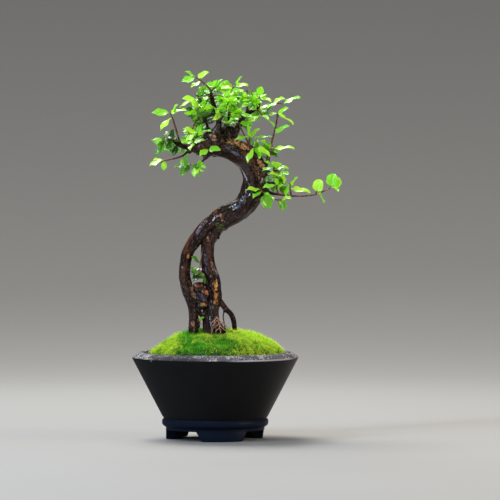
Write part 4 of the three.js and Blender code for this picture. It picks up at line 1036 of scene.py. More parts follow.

# Streaks of other bark, and painted highlights: both ends, the half width and the colour
stainsAndGlints = [
    ((-24.4, -4, 166), (-24.2, -4, 163.6), 1.6, (0.7, 0.24, 0.07)),
    ((0.2, -7.5, 141), (0.5, -7.5, 135), 2.1, (0.66, 0.27, 0.05)),
    ((0.6, -8, 130), (0.4, -8, 122.5), 2.2, (0.56, 0.22, 0.05)),
    ((-18.6, -5, 138.5), (-12.5, -6, 138.6), 2.3, (0.3, 0.055, 0.02)),
    ((-10, -7, 134), (-7.6, -7, 132), 2.1, (0.75, 0.22, 0.09)),
    ((-11.6, -6, 121), (-9.6, -6, 120.6), 2.0, (0.44, 0.27, 0.09)),
    ((-23, -3, 141), (-19.4, -3, 128.5), 1.5, (0.26, 0.12, 0.06)),
    ((-20.4, -1.5, 105), (-19.4, -1.5, 98.5), 1.4, (0.5, 0.22, 0.15)),
    ((-7, -3.5, 203), (0, -3.5, 206), 2.4, (0.6, 0.15, 0.05)),
    ((1.5, -2, 206.8), (7.5, -2, 208), 1.5, (0.26, 0.2, 0.06)),
    ((4.6, -9.5, 203), (6.6, -9.5, 197.5), 1.4, (0.4, 0.17, 0.11)),
    ((1.8, -9, 193.5), (7, -8, 188.5), 2.4, (0.07, 0.11, 0.025)),
    ((-8.5, -2, 199.5), (-15.5, -3, 192), 1.9, (0.17, 0.036, 0.018)),
    ((-16, -3.5, 190.5), (-23, -3.5, 180), 1.8, (0.14, 0.034, 0.018)),
    ((-23.6, -3, 178.5), (-28.4, -3, 168), 1.6, (0.13, 0.034, 0.018)),
    ((-27.5, -3, 157), (-29, -3, 143), 2.2, (0.11, 0.03, 0.016)),
    ((-5.6, -5, 174), (-4.8, -6.4, 153), 2.6, (0.085, 0.028, 0.02)),
    ((-6.8, -4.6, 181.5), (-6.3, -4.6, 178.6), 1.3, (0.42, 0.26, 0.13)),
    ((13.5, -2, 267.2), (19, -2, 266), 3.9, (0.9, 0.47, 0.23)),
    ((20, -2, 265), (29, -2, 261.4), 3.6, (0.85, 0.4, 0.22)),
    ((26, -9, 258), (34, -9.5, 248), 2.6, (0.13, 0.04, 0.022)),
    ((40, -8, 250.5), (42.5, -7, 245), 2.5, (0.5, 0.22, 0.12)),
    ((38, -9.5, 242), (43, -6, 235), 4.2, (0.14, 0.055, 0.03)),
    ((-3, -9.5, 274.5), (-0.4, -9.5, 269.5), 2.3, (0.58, 0.29, 0.21)),
    ((4.4, -8.6, 274.6), (5.2, -8.6, 274.2), 1.3, (0.8, 0.68, 0.5)),
    ((6.2, -9.4, 268.8), (6.8, -9.4, 268.6), 1.3, (0.85, 0.7, 0.48)),
    ((-7, -8, 266), (-14, -6, 262.5), 3.0, (0.13, 0.035, 0.022)),
    ((8, -8, 255.6), (19, -8.4, 250.6), 2.2, (0.05, 0.018, 0.011)),
    # the next thirteen are painted highlights: bluish, white and pale green glints on the wet bark of the
    # arch, the trunk, the legs and the burl
    ((11, -8.5, 261.5), (23, -8.5, 254.5), 1.4, (0.15, 0.17, 0.24)),
    ((17, -9, 207), (26, -9.5, 214.5), 1.6, (0.1, 0.11, 0.16)),
    ((25, -4.5, 242), (28.5, -5, 233.5), 1.0, (0.34, 0.34, 0.38)),
    ((-12, -7.5, 192), (-20, -7.5, 179), 1.1, (0.11, 0.12, 0.165)),
    ((-20, -7.5, 178), (-24, -7.5, 171), 1.2, (0.13, 0.135, 0.18)),
    ((-28, -7, 156), (-28, -7, 151), 1.1, (0.2, 0.2, 0.3)),
    ((-26.6, -7, 137), (-25, -7, 131), 1.2, (0.1, 0.12, 0.2)),
    ((-22, -6, 117), (-21, -6, 106), 1.5, (0.06, 0.065, 0.11)),
    ((-8.8, -5, 166), (-8.4, -5, 150), 1.0, (0.095, 0.11, 0.16)),
    ((-5, -7.5, 141), (-4.6, -7.5, 131), 1.1, (0.1, 0.15, 0.26)),
    ((-12.5, -7, 129.5), (-10.5, -7, 126), 1.7, (0.1, 0.09, 0.17)),
    ((-15, -6, 120.5), (-14.4, -6, 117), 1.4, (0.11, 0.13, 0.24)),
    ((-1.8, -6, 119.6), (-1.8, -6, 117.6), 0.8, (0.3, 0.5, 0.42)),
    # the rest are streaks of other bark again
    ((68, -13, 218.6), (80, -13, 218.5), 2.6, (0.62, 0.16, 0.1)),
    ((86, -13, 220), (101, -12, 225), 2.8, (0.72, 0.34, 0.26)),
    ((48.6, -9, 251), (50.5, -9, 266), 2.2, (0.62, 0.3, 0.2)),
    ((13, 9.5, 264), (22, 10, 259), 3.4, (0.34, 0.16, 0.09)),
    ((35, 10, 232), (34, 10, 222), 4.2, (0.1, 0.045, 0.03)),
    ((2, 4, 134), (2, 4, 124), 2.6, (0.42, 0.18, 0.06)),
    ((-27, 6, 156), (-26, 6, 143), 2.6, (0.22, 0.06, 0.03)),
    ((-8, 7, 190), (0, 8, 197), 3.4, (0.08, 0.1, 0.03)),
    ((-22, 5, 178), (-12, 6, 188), 2.6, (0.2, 0.05, 0.025)),
]


def barkPaint():
    paint = Paint("wet_bark")
    place = paint.place()
    flow = paint.attribute("flow", "Vector")
    fibre = paint.grain(paint.stretched(flow, (0.9, 0.9, 0.14)), 1.0, 6.0, 0.7, 0.6)
    ridge = paint.grain(paint.stretched(flow, (0.36, 0.36, 0.12)), 1.0, 4.0, 0.6, 0.8)
    mottle = paint.grain(place, 0.2, 6.0, 0.68)
    fine = paint.grain(place, 1.3, 5.0, 0.7)

    # old bark in two tones with reddish dots and painted bluish glints, and redder young bark on slender
    # branches
    fibrous = paint.fade(fibre, 0.35, 0.7)
    dark = paint.blend(fibrous, *barkColours["dark"])
    warm = paint.blend(fibrous, *barkColours["warm"])
    bark = paint.blend(paint.fade(mottle + (ridge - 0.5) * 0.9, 0.52, 0.72), dark, warm)
    dots = paint.fade(paint.grain(place, 0.62, 3.0, 0.55), 0.56, 0.66)
    bark = paint.blend(dots * 0.75, bark, paint.blend(mottle, *barkColours["dots"]))
    youngMottle = paint.fade(mottle + (fine - 0.5) * 0.5, 0.42, 0.62)
    young = paint.blend(youngMottle, *barkColours["young"])
    bark = paint.blend(paint.attribute("slender") * 0.9, bark, young)

    # stains and painted highlights with ragged edges and flecks, then dark furrows
    ragged = (ridge - 0.5) * 1.7 + (fibre - 0.5) * 1.3 + (mottle - 0.5) * 0.8
    patch = paint.fade(paint.attribute("stainAmount") + ragged, 0.4, 0.68)
    cells = paint.cells(paint.stretched(flow, (0.42, 0.42, 0.26)), 1.0)
    flecks = paint.fade(fine + (fibre - 0.5) * 1.1, 0.3, 0.6, 0.35, 1.0)
    flecks = flecks * paint.fade(cells, 0.72, 0.42, 0.12, 1.0)
    stain = paint.blend(flecks, barkColours["fleck"], paint.attribute("stain", "Color"))
    bark = paint.blend(patch * 0.96, bark, stain)
    bark = paint.blend(paint.fade(paint.attribute("hollow"), 0.25, 0.85) * 0.85, bark, barkColours["furrow"])
    relief = paint.bump(ridge, 0.8, 0.6)
    relief = paint.bump(fibre, 0.5, 0.7, relief)
    relief = paint.bump(fine, 0.3, 0.6, relief)

    # a wet film in streaks, less on faces that look up
    film = paint.grain(paint.stretched(flow, (0.2, 0.2, 0.05)), 1.0, 3.0, 0.5)
    wet = paint.fade(film + (fibre - 0.5) * 0.5, 0.42, 0.56)
    wet = wet * paint.fade(paint.upwards(), 0.85, 0.45, 0.06, 1.0)
    return paint.finish(paint.surface({
        "Base Color": bark, "Roughness": 0.55 + (fine - 0.5) * 0.2, "Normal": relief,
        "Specular IOR Level": 0.06, "Coat Weight": 0.04 + wet * 0.86, "Coat Roughness": 0.11, "Coat IOR": 1.4,
    }))


def limbFrames(line):
    # centre, radius, tangent, two cross directions, distance and share at even steps along a limb
    length = curveLength(line)
    count = max(4, math.ceil(length / woodSizes["step"]))
    side = unit(np.array([0.3, 1, 0.1]))
    frames = []
    for i in range(count + 1):
        t = i / count
        tangent = tangentAlong(line, t)
        side = unit(side - tangent * np.dot(side, tangent))
        across = np.cross(tangent, side)
        frames.append((pointAlong(line, t), radiusAlong(line, t), tangent, side, across, t * length, t))
    return frames


def addLimb(bm, frames, ridges, rings):
    # a tube with fluted sides and domed ends
    last = len(frames) - 1
    ends = [(0, -0.5, 0.0), (0, -0.35, 0.6)] + [(i, 0, 1.0) for i in range(len(frames))]
    ends += [(last, 0.35, 0.6), (last, 0.5, 0.0)]
    slim = woodSizes["slim"]

    def place(turn, step):
        i, beyond, share = ends[step]
        centre, radius, tangent, side, across, _, t = frames[i]
        angle = 2 * math.pi * turn
        relief = math.sin(3 * angle + rings * t * 0.7) + 0.5 * math.sin(5 * angle - rings * t * 1.1)
        reach = radius * (1 + ridges * relief) * share * (slim + (1 - slim) * smoothStep(radius, 1.3, 2.2))
        return (centre + tangent * beyond * radius
                + side * reach * math.cos(angle) + across * reach * math.sin(angle)).tolist()

    shapedGrid(bm, woodSizes["around"], len(ends) - 1, place)


def fusedWood():
    # limbs and lumps made one skin, and the frames of each limb
    bm = bmesh.new()
    skeleton = []
    for limb in limbs.values():
        frames = limbFrames(limb["bark"])
        skeleton.append(frames)
        addLimb(bm, frames, limb.get("ridges", 0), len(limb["bark"]) - 1)
    for centre, half in lumps:
        made = bmesh.ops.create_icosphere(bm, subdivisions=4, radius=1)
        for vert in made["verts"]:
            relief = 1 + 0.14 * noise.noise(vert.co * 1.9 + Vector(centre))
            vert.co = [centre[k] + half[k] * relief * vert.co[k] for k in range(3)]
    bmesh.ops.recalc_face_normals(bm, faces=bm.faces)

    def fuse(helper):
        remesh = helper.modifiers.new("fuse", "REMESH")
        remesh.mode = "VOXEL"
        remesh.voxel_size = woodSizes["voxel"]
        smooth = helper.modifiers.new("smooth", "SMOOTH")
        smooth.factor = 0.5
        smooth.iterations = woodSizes["smoothing"]

    mesh = applied(plainMesh("rough_wood", bm), fuse)
    print("wood fused:", len(mesh.polygons), "faces")
    return mesh, skeleton


def barkRelief(points, skeleton):
    # each point learns the limb that it lies on, with its place along and around it, and is lifted
    samples = [(number, frame) for number, frames in enumerate(skeleton) for frame in frames]
    tree = KDTree(len(samples))
    for i, (_, frame) in enumerate(samples):
        tree.insert(frame[0], i)
    tree.balance()
    flow = np.zeros((len(points), 3))
    lift = np.zeros(len(points))
    slender = np.zeros(len(points))
    sizes = woodSizes
    for i, at in enumerate(points):
        best = {}
        for _, k, distance in tree.find_n(at, sizes["neighbours"]):
            number, frame = samples[k]
            over = distance - frame[1]
            if number not in best or over < best[number][0]:
                best[number] = (over, frame)
        nearest = min(over for over, _ in best.values())
        total, relief = 0.0, 0.0
        for number, (over, (centre, radius, _, side, across, along, _)) in best.items():
            weight = math.exp(-(over - nearest) / sizes["blend"])
            if weight < sizes["leastWeight"]:
                continue
            offset = at - centre
            twist = sizes["twist"] * along + number
            a, b = float(offset @ side), float(offset @ across)
            a, b = a * math.cos(twist) - b * math.sin(twist), a * math.sin(twist) + b * math.cos(twist)
            size = 1.5 / radius  # flutes widen with the limb, and each limb has noise of its own
            flute = noise.noise((a * size, b * size, along * 0.032 + 7.0 * number))
            furrow = noise.noise((a * size * 2.3, b * size * 2.3, along * 0.07 + 3.0 * number))
            furrow = 1 - 2.4 * abs(furrow)
            relief += weight * radius * (sizes["flute"] * flute + sizes["furrow"] * furrow)
            total += weight
            if over == nearest:
                flow[i] = (a, b, along + 40 * number)
                here = radius
                slender[i] = (1 - smoothStep(radius, *sizes["youngRadii"])) * (at[2] > sizes["youngFrom"])
        knob = noise.noise(Vector(at) * 0.17) * min(1, here / 5)
        a, b, along = flow[i]
        wrinkle = noise.noise((a * 0.5, b * 0.5, along * 0.2)) + 0.6 * noise.noise(Vector(at) * 0.55)
        lift[i] = relief / total + sizes["knob"] * here * knob + sizes["wrinkle"] * wrinkle * min(1, here / 4)
    return flow, lift, slender


def stainAndGlintColours(points):
    amounts = np.zeros(len(points))
    colours = np.zeros((len(points), 4))
    colours[:, 3] = 1
    for start, end, halfWidth, colour in stainsAndGlints:
        start, end = np.array(start, dtype=float), np.array(end, dtype=float)
        way = end - start
        share = np.clip((points - start) @ way / np.dot(way, way), 0, 1)
        off = (points - start - share[:, None] * way) * (1, 0.5, 1)
        amount = 1 - smoothStep(np.linalg.norm(off, axis=1) / halfWidth, 0.2, 1.7)
        stronger = amount > amounts
        amounts[stronger] = amount[stronger]
        colours[stronger, :3] = colour
    return amounts, colours


def makeWood():
    mesh, skeleton = fusedWood()
    points = np.empty(len(mesh.vertices) * 3)
    normals = np.empty(len(mesh.vertices) * 3)
    mesh.vertices.foreach_get("co", points)
    mesh.vertices.foreach_get("normal", normals)
    points = points.reshape(-1, 3)
    flow, lift, slender = barkRelief(points, skeleton)
    points = points + normals.reshape(-1, 3) * lift[:, None]
    amounts, colours = stainAndGlintColours(points)
    mesh.vertices.foreach_set("co", intoFrame(points).ravel())
    for name, kind, values, key in (
            ("flow", "FLOAT_VECTOR", flow, "vector"), ("stain", "FLOAT_COLOR", colours, "color"),
            ("stainAmount", "FLOAT", amounts, "value"), ("slender", "FLOAT", slender, "value"),
            ("hollow", "FLOAT", np.clip(-lift / 0.5, 0, 1), "value")):
        mesh.attributes.new(name, kind, "POINT").data.foreach_set(key, values.astype(np.float32).ravel())
    pieceFrom("bonsai_wood", mesh, [barkPaint()], ["tree_wood"], 180)


# Fine roots: tan rootlets that fan out over the flare of the right leg and dive into the moss, with
# short ones that branch off to both sides

fineRootSizes = {"long": 4, "short": 11, "thickest": 0.36, "thinnest": 0.22, "around": 6, "steps": 10}


def rootPaint():
    paint = Paint("young_roots")
    tone = paint.uvParts("tone")[0]
    fine = paint.grain(paint.place(), 1.4, 4.0, 0.65)
    pale = paint.blend(paint.fade(tone, 0.35, 0.8), (0.09, 0.035, 0.045), (0.78, 0.41, 0.26))
    return paint.finish(paint.surface({
        "Base Color": paint.blend(paint.fade(fine, 0.36, 0.54), (0.06, 0.024, 0.02), pale),
        "Roughness": 0.42 + fine * 0.2, "Normal": paint.bump(fine, 0.2, 0.7),
    }))


def tubeAlong(points, radii, around):
    # a closed tube through points, as a template of its own
    last = len(points) - 1
    side = np.array([0.31, 0.9, 0.2])
    frames = []
    for i, point in enumerate(points):
        tangent = unit(points[min(i + 1, last)] - points[max(i - 1, 0)])
        side = unit(side - tangent * np.dot(side, tangent))
        frames.append((point, radii[i], tangent, side, np.cross(tangent, side)))
    rows = [(0, -0.6, 0)] + [(i, 0, 1) for i in range(last + 1)] + [(last, 0.6, 0)]  # a point at each end

    def place(turn, step):
        i, push, share = rows[step]
        centre, radius, tangent, one, two = frames[i]
        angle = 2 * math.pi * turn
        reach = radius * share
        return (centre + tangent * (push * radius)
                + one * reach * math.cos(angle) + two * reach * math.sin(angle)).tolist()

    bm = bmesh.new()
    shapedGrid(bm, around, len(rows) - 1, place)
    bmesh.ops.recalc_face_normals(bm, faces=bm.faces)
    return templateOf(bm)


def makeFineRoots():
    random = seededRandom(61)
    sizes = fineRootSizes
    copies = []
    for k in range(sizes["long"] + sizes["short"]):
        isLong = k < sizes["long"]
        if isLong:
            share = k / (sizes["long"] - 1)
            start = np.array([-0.6 + 3.4 * share, -7.0, 111.5 - 5 * abs(2 * share - 0.8)])
            endX = -4.5 + 17 * share
        else:
            share = (k - sizes["long"]) / sizes["short"]
            way = 1 if k % 2 else -1
            start = np.array([0.4 + 5.0 * share, -7.6 - 3.2 * share, 111 - 9.5 * share])
            endX = start[0] + way * (4.5 + 3.5 * random()) + (2.4 if way > 0 else 0.2)
        endY = -11.6 - 1.4 * random() + 4.5 * max(0, endX - 5) / 10
        low = mossTop(endX, endY) - 0.6
        endZ = low if isLong else max(low, start[2] - 4.8 - 2.5 * random())
        reach = np.array([endX, endY, endZ]) - start
        size = sizes["thickest"] + (sizes["thinnest"] - sizes["thickest"]) * random()
        points, radii = [], []
        for i in range(sizes["steps"] + 1):
            t = i / sizes["steps"]
            sideways = 0.5 * math.sin(5 * t + 3.1 * k) * t * (1 - t) * 4
            sway = np.array([sideways, 0.4 * math.sin(4 * t + k) * t, 0])
            points.append(start + reach * (t ** (1.2 if isLong else 0.85), t, t) + sway)
            radii.append(size * (1 - 0.35 * t) * (1 + 0.18 * math.sin(9 * t + k)))
        tube = tubeAlong(points, radii, sizes["around"])
        tone = 0.2 * random() if k % 3 == 1 else 0.55 + 0.45 * random()  # every third one is dark
        copies.append((tube, tube["points"], tone, 0))
    pieceFrom("fine_roots", meshFromCopies(copies), [rootPaint()])


# Leaf places: the rule that gives each spray its leaves, in the same order as its solids were made

leafRule = {
    "crownCentre": np.array([8.0, 4.0, 262.0]), "usualLength": 12.5, "roundFrom": 0.85,
    "cup": 0.16, "wave": 0.06,
    "twigPlaces": (1, 0.9, 0.8, 0.7, 0.6, 0.5), "twigRadius": 0.95, "bow": 0.08,
    "depths": (0, -4, 4, -8, 8, -12, 12),  # how far a settled leaf may move to the front or the back
    "attempts": 11, "shorterAfter": 7, "lengths": (9, 12.5), "roundBreadth": 0.86,
    "widest": 13, "nearBy": 30,
}
clearOf = {"leaves": 2.7, "wood": 1.5, "ownLeaves": 2.2, "ownLeavesNearTwig": 1.3}
takenPoints, takenRadii, takenOwners, takenKinds = [], [], [], []
woodKind, twigKind, leafKind = 0, 1, 2
noOwner, sproutOwner = -1, -2


def take(point, radius, owner, kind):
    takenPoints.append(point)
    takenRadii.append(radius)
    takenOwners.append(owner)
    takenKinds.append(kind)


def leafPoint(leaf, t, u, half):
    edgeWave = leafRule["wave"] * leaf["length"] * math.sin(9 * t + (1.6 if u > 0 else 0)) * abs(u)
    rise = leaf["bend"] * leaf["length"] * t * t + leafRule["cup"] * abs(u) * half * leaf["width"] + edgeWave
    return (leaf["root"] + leaf["along"] * leaf["length"] * t + leaf["across"] * u * half * leaf["width"]
            + leaf["up"] * rise)


def bladeSamples(leaf):
    halves = {0.3: 0.32, 0.5: 0.5, 0.7: 0.4, 0.95: 0.1}  # half width at places along the blade
    return np.array([leafPoint(leaf, t, u, half) for t, half in halves.items() for u in (-1, -0.33, 0.33, 1)])


def isClear(samples, owner, room=1.0):
    points, radii = np.array(takenPoints), np.array(takenRadii)
    owners, kinds = np.array(takenOwners), np.array(takenKinds)
    near = np.abs(points - samples.mean(axis=0)).max(axis=1) < leafRule["nearBy"]
    points, radii, owners, kinds = points[near], radii[near], owners[near], kinds[near]
    own = owners == owner
    away = ((samples[:, None, :] - points[None, :, :]) ** 2).sum(axis=2)
    isNearTwig = np.arange(len(samples)) < 4
    ownRoom = np.where(isNearTwig, clearOf["ownLeavesNearTwig"], clearOf["ownLeaves"])[:, None]
    needed = np.where(kinds == leafKind, np.where(own, ownRoom, clearOf["leaves"]), clearOf["wood"])
    free = (away > (radii + needed * room) ** 2) | (own & (kinds == twigKind))
    return bool(free.all())


def makeLeaf(root, along, facing, length, width, bend):
    up = unit(facing - along * np.dot(facing, along))
    across = np.cross(along, up)
    return dict(root=root, along=along, across=across, up=up, length=length, width=width, bend=bend)


def twigOf(spray):
    line = limbs[spray["on"]]["line"]
    root = pointAlong(line, spray["at"])
    tip = np.array(spray["tip"], dtype=float)
    bow = leafRule["bow"] * np.linalg.norm(root - tip)
    return dict(root=root, tip=tip, bow=bow, hostRadius=radiusAlong(line, spray["at"]), used=[])


def twigPoint(twig, t):
    return twig["root"] + (twig["tip"] - twig["root"]) * t + np.array([0, 0, 4 * twig["bow"] * t * (1 - t)])


def settledLeaf(twig, tip, random, attempt):
    x, y, z, shown = tip
    rule = leafRule
    aim = np.array([x, y + rule["depths"][attempt], z], dtype=float)
    free = [place for place in rule["twigPlaces"] if place not in twig["used"]]
    place = min(free, key=lambda p: abs(np.linalg.norm(twigPoint(twig, p) - aim) - rule["usualLength"]))
    root = twigPoint(twig, place)
    length = float(np.linalg.norm(root - aim))
    along = unit(aim - root)
    front = min(1, max(0, shown + 0.16 * (random() - 0.5)))
    facing = unit(np.array([-along[2], 0, along[0]]))
    facing *= (-1 if facing[2] < 0 else 1) * math.sqrt(1 - front ** 2)
    facing[1] = -front
    isRound = shown > rule["roundFrom"]
    breadth = rule["roundBreadth"] if isRound else 0.52 + 0.1 * random()
    leaf = makeLeaf(root, along, facing, length, min(length, rule["widest"]) * breadth, -0.12)
    return dict(leaf, place=place, isRound=isRound)


def ruledLeaf(twig, share, order, random, attempt):
    isLast = share > 0.99
    root = twigPoint(twig, share)
    along = unit(twig["tip"] - twig["root"])
    outward = unit(root - leafRule["crownCentre"])
    up = outward * 0.45 + np.array([0, -0.1, 0.9])
    up = unit(up - along * np.dot(up, along))
    turn = attempt * 0.7 * (1 if attempt % 2 else -1) + 0.7 * (random() - 0.5)
    up = turned(up, along, turn)
    side = np.cross(along, up) * (1 if order % 2 else -1)
    spread = 0.3 * (random() - 0.5) if isLast else 0.85 + 0.4 * random()
    direction = unit(along * math.cos(spread) + side * math.sin(spread) + up * 0.25 * (random() - 0.3))
    facing = up + side * 0.5 * (random() - 0.5)
    low, high = leafRule["lengths"]
    length = (low + (high - low) * random()) * (0.75 if attempt > leafRule["shorterAfter"] else 1)
    width = length * (0.52 + 0.1 * random())
    return makeLeaf(root, direction, facing, length, width, -0.1 - 0.15 * random())


def placeLeaf(index, attempts, propose, room=1.0):
    for attempt in range(attempts):
        leaf = propose(attempt)
        samples = bladeSamples(leaf)
        if isClear(samples, index, room):
            for point in samples:
                take(point, 0, index, leafKind)
            if leaf.get("place"):
                twigs[index]["used"].append(leaf["place"])
            return [leaf]
    return []


for limb in list(limbs.values()) + rootletFan:
    line = limb["line"]
    steps = math.ceil(curveLength(line) / 2.5)
    for i in range(steps + 1):
        take(pointAlong(line, i / steps), radiusAlong(line, i / steps), noOwner, woodKind)
for centre, half in lumps:
    take(np.array(centre, dtype=float), max(half), noOwner, woodKind)
twigs = [twigOf(spray) for spray in sprays]
for index, twig in enumerate(twigs):
    for i in range(1, 13):
        take(twigPoint(twig, i / 12), leafRule["twigRadius"], index, twigKind)

leafSets = []
for index, spray in enumerate(sprays):
    random = seededRandom(1000 + 37 * index)
    found = []
    for tip in spray["leaves"]:
        found += placeLeaf(index, len(leafRule["depths"]),
                           lambda attempt: settledLeaf(twigs[index], tip, random, attempt))
    leafSets.append(found)
for index, (spray, twig) in enumerate(zip(sprays, twigs)):
    random = seededRandom(5000 + 53 * index)
    more = spray["more"]
    bare = min(0.7, 0.12 + (twig["hostRadius"] + 2) / np.linalg.norm(twig["tip"] - twig["root"]))
    for order in range(more):
        share = 1 if more == 1 else bare + (1 - bare) * order / (more - 1)
        leafSets[index] += placeLeaf(index, leafRule["attempts"],
                                     lambda attempt: ruledLeaf(twig, share, order, random, attempt))
print("leaves placed:", sum(len(found) for found in leafSets))


# Leaves and twigs: thin cupped blades with a short stalk, on red-brown twigs

leafSizes = {
    "thickness": 0.32, "cup": 0.3, "stations": (0, 0.06, 0.12, 0.2, 0.33, 0.48, 0.63, 0.77, 0.89, 0.96, 1),
    "pointed": (0.03, 0.035, 0.13, 0.29, 0.43, 0.49, 0.46, 0.35, 0.18, 0.07, 0.0),  # half widths there
    "round": (0.03, 0.035, 0.17, 0.34, 0.47, 0.5, 0.49, 0.44, 0.33, 0.2, 0.0),
    "small": (5.0, 9.5), "fillers": 14, "smallClearance": 0.34, "smallAttempts": 7,
    # shares painted in shade: of small leaves, of small leaves in dark sprays, and of those sprays' others
    "deepShare": 0.4, "darkShare": 0.75, "darkLeafShare": 0.85,
}
# the grown green doubles as the half-shade copy, and the shade green is the copy painted in shade
leafColours = {  # young, grown, and with light behind
    "young_leaf": ((0.68, 1.0, 0.07), (0.33, 0.84, 0.03), (0.62, 1.0, 0.05)),
    "grown_or_half_shade_leaf": ((0.2, 0.58, 0.015), (0.04, 0.24, 0.01), (0.5, 0.9, 0.03)),
    "shade_leaf": ((0.05, 0.24, 0.01), (0.012, 0.09, 0.006), (0.1, 0.36, 0.012)),
    "edge": (0.55, 0.78, 0.12), "rib": (0.6, 0.8, 0.18), "stalk": (0.22, 0.07, 0.025),
}
twigSizes = {"radius": 0.92, "taper": 0.5, "joints": 0.14, "sway": 0.35, "steps": 12, "around": 7}
stemsInView = {  # small leaves keep out of what lies in front of these stretches of the crown's main stems
    "stretches": [("upright_branch", 0.35, 0.95), ("right_branch", 0.35, 0.75)],
    "steps": 14, "distances": range(3, 40, 3), "radius": 2.2,
}

# Small leaves straight from old wood: the limb, the stretch of it, how many, how long, how far down they
# hang and the way that they lean. Dark ones are painted in shade, and the others in half shade.
sprouts = [
    dict(on="back_left_branch", dark=True, span=(0.3, 0.95), count=44, size=(7, 12), hang=0.5),
    dict(on="upright_branch", dark=True, span=(0.45, 0.9), count=34, size=(6, 11), hang=0.4,
         way=(-1.2, 0.5, 0)),
    dict(on="upright_branch", span=(0.75, 1.0), count=14, size=(5, 9), hang=0.1),
    dict(on="centre_branch", span=(0.2, 0.9), count=26, size=(6, 10), hang=0.3),
    dict(on="back_right_branch", span=(0.25, 0.8), count=20, size=(6, 10), hang=0.3),
    dict(on="right_branch", span=(0.3, 0.9), count=22, size=(6, 10), hang=0.2),
    dict(on="front_branch", span=(0.3, 0.9), count=10, size=(6, 9), hang=0.3),
    dict(on="low_right_front", span=(0.3, 1.0), count=8, size=(6, 9), hang=0.2),
    dict(on="low_right_back", span=(0.3, 1.0), count=14, size=(6, 10), hang=0.2),
    dict(on="low_back_right", span=(0.3, 1.0), count=14, size=(6, 10), hang=0.2),
    dict(on="low_back_left", span=(0.3, 1.0), count=16, size=(6, 10), hang=0.3),
    dict(on="trunk", dark=True, span=(0.9, 1.0), count=18, size=(7, 11), hang=1.4),
    dict(on="side_stem", dark=True, span=(0.6, 0.9), count=30, size=(8, 13), hang=0.0, way=(-1.4, -0.5, 0.1)),
]


def leafTemplate():
    # a flat blade of unit length: x across from -1 to 1, y along from 0 to 1, z its thickness
    stations = leafSizes["stations"]
    bm = bmesh.new()
    bm.loops.layers.uv.new("blade")
    steps = len(stations) - 1
    for way in (1, -1):
        made = bmesh.ops.create_grid(bm, x_segments=4, y_segments=steps, size=0.5, calc_uvs=True)
        for vert in made["verts"]:
            row = round((vert.co.y + 0.5) * steps)
            u = vert.co.x * 2
            edge = abs(u) > 0.99 or row in (0, steps)
            vert.co = (0 if row == steps else u, stations[row], 0 if edge else way * (1 - 0.5 * abs(u)))
        faces = {face for vert in made["verts"] for face in vert.link_faces}
        if way < 0:
            bmesh.ops.reverse_faces(bm, faces=list(faces))
            for face in faces:
                face.material_index = 1
    bmesh.ops.remove_doubles(bm, verts=bm.verts, dist=1e-4)
    return templateOf(bm)


def leafCopy(template, leaf, tone, slot):
    # the blade bent, cupped and waved as its solid is
    shape = template["points"]
    u, t, z = shape[:, 0], shape[:, 1], shape[:, 2]
    half = np.interp(t, leafSizes["stations"], leafSizes["round" if leaf.get("isRound") else "pointed"])
    length, width = leaf["length"], leaf["width"]
    blade = smoothStep(t, 0.08, 0.2)
    wave = leafRule["wave"] * length * np.sin(9 * t + np.where(u > 0, 1.6, 0)) * np.abs(u) * blade
    curl = 0.02 * length * np.sin(17 * t + 2 * np.sign(u) + 6 * tone) * np.abs(u) ** 2 * blade
    cup = leafSizes["cup"] * np.abs(u) ** 1.2 * half * width
    rise = leaf["bend"] * length * t * t + cup + wave + curl + z * leafSizes["thickness"] / 2 * (1 - 0.4 * t)
    sway = 0.05 * length * math.sin(12 * tone) * t * t
    placed = (leaf["root"] + np.outer(length * t, leaf["along"])
              + np.outer(u * half * width + sway, leaf["across"]) + np.outer(rise, leaf["up"]))
    return template, placed, tone, slot


def leafPaint(name):
    young, grown, light = leafColours[name]
    paint = Paint(name)
    tone, side, _ = paint.uvParts("tone")
    across, along, _ = paint.uvParts("blade")
    off = (across - 0.5).size() * 2
    rib = paint.fade(off, 0.09, 0.03)
    veins = ((along * 7.0 - off * 1.7).fraction() - 0.5).size() * 2
    vein = paint.fade(veins, 0.16, 0.03) * paint.fade(off, 1.0, 0.75) * paint.fade(along, 0.12, 0.25)
    mottle = paint.grain(paint.place(), 0.35, 4.0, 0.6)
    blade = paint.blend(paint.fade(tone + (mottle - 0.5) * 0.5, 0.15, 0.85), grown, young)
    blade = paint.blend(paint.fade(off, 0.78, 1.0) * 0.3, blade, leafColours["edge"])
    blade = paint.blend(rib * 0.6 + vein * 0.28, blade, leafColours["rib"])
    blade = paint.blend(side * 0.4, blade, light)  # the underside is paler
    blade = paint.blend(paint.fade(along, 0.16, 0.07), blade, leafColours["stalk"])
    relief = paint.bump(1 - rib, 0.3, 0.5, paint.bump(1 - vein, 0.16, 0.4))
    relief = paint.bump(mottle, 0.25, 0.25, relief)
    surface = paint.surface({
        "Base Color": blade, "Roughness": 0.24 + side * 0.2 + (mottle - 0.5) * 0.15, "Normal": relief,
        "Specular IOR Level": 0.8, "Coat Weight": 0.35, "Coat Roughness": 0.22,
    })
    glow = {"Color": paint.blend(0.55, blade, light), "Normal": relief}
    through = paint.add("ShaderNodeBsdfTranslucent", None, glow)["BSDF"]
    return paint.finish(paint.mixed(0.42, surface, through))


def twigPaint():
    paint = Paint("red_twigs")
    fine = paint.grain(paint.place(), 1.1, 4.0, 0.65)
    red = paint.blend(paint.uvParts("tone")[0], (0.035, 0.012, 0.008), (0.24, 0.06, 0.022))
    return paint.finish(paint.surface({
        "Base Color": paint.blend(paint.fade(fine, 0.35, 0.65), red, (0.07, 0.036, 0.016)),
        "Roughness": 0.36 + fine * 0.2, "Normal": paint.bump(fine, 0.15, 0.7),
    }))


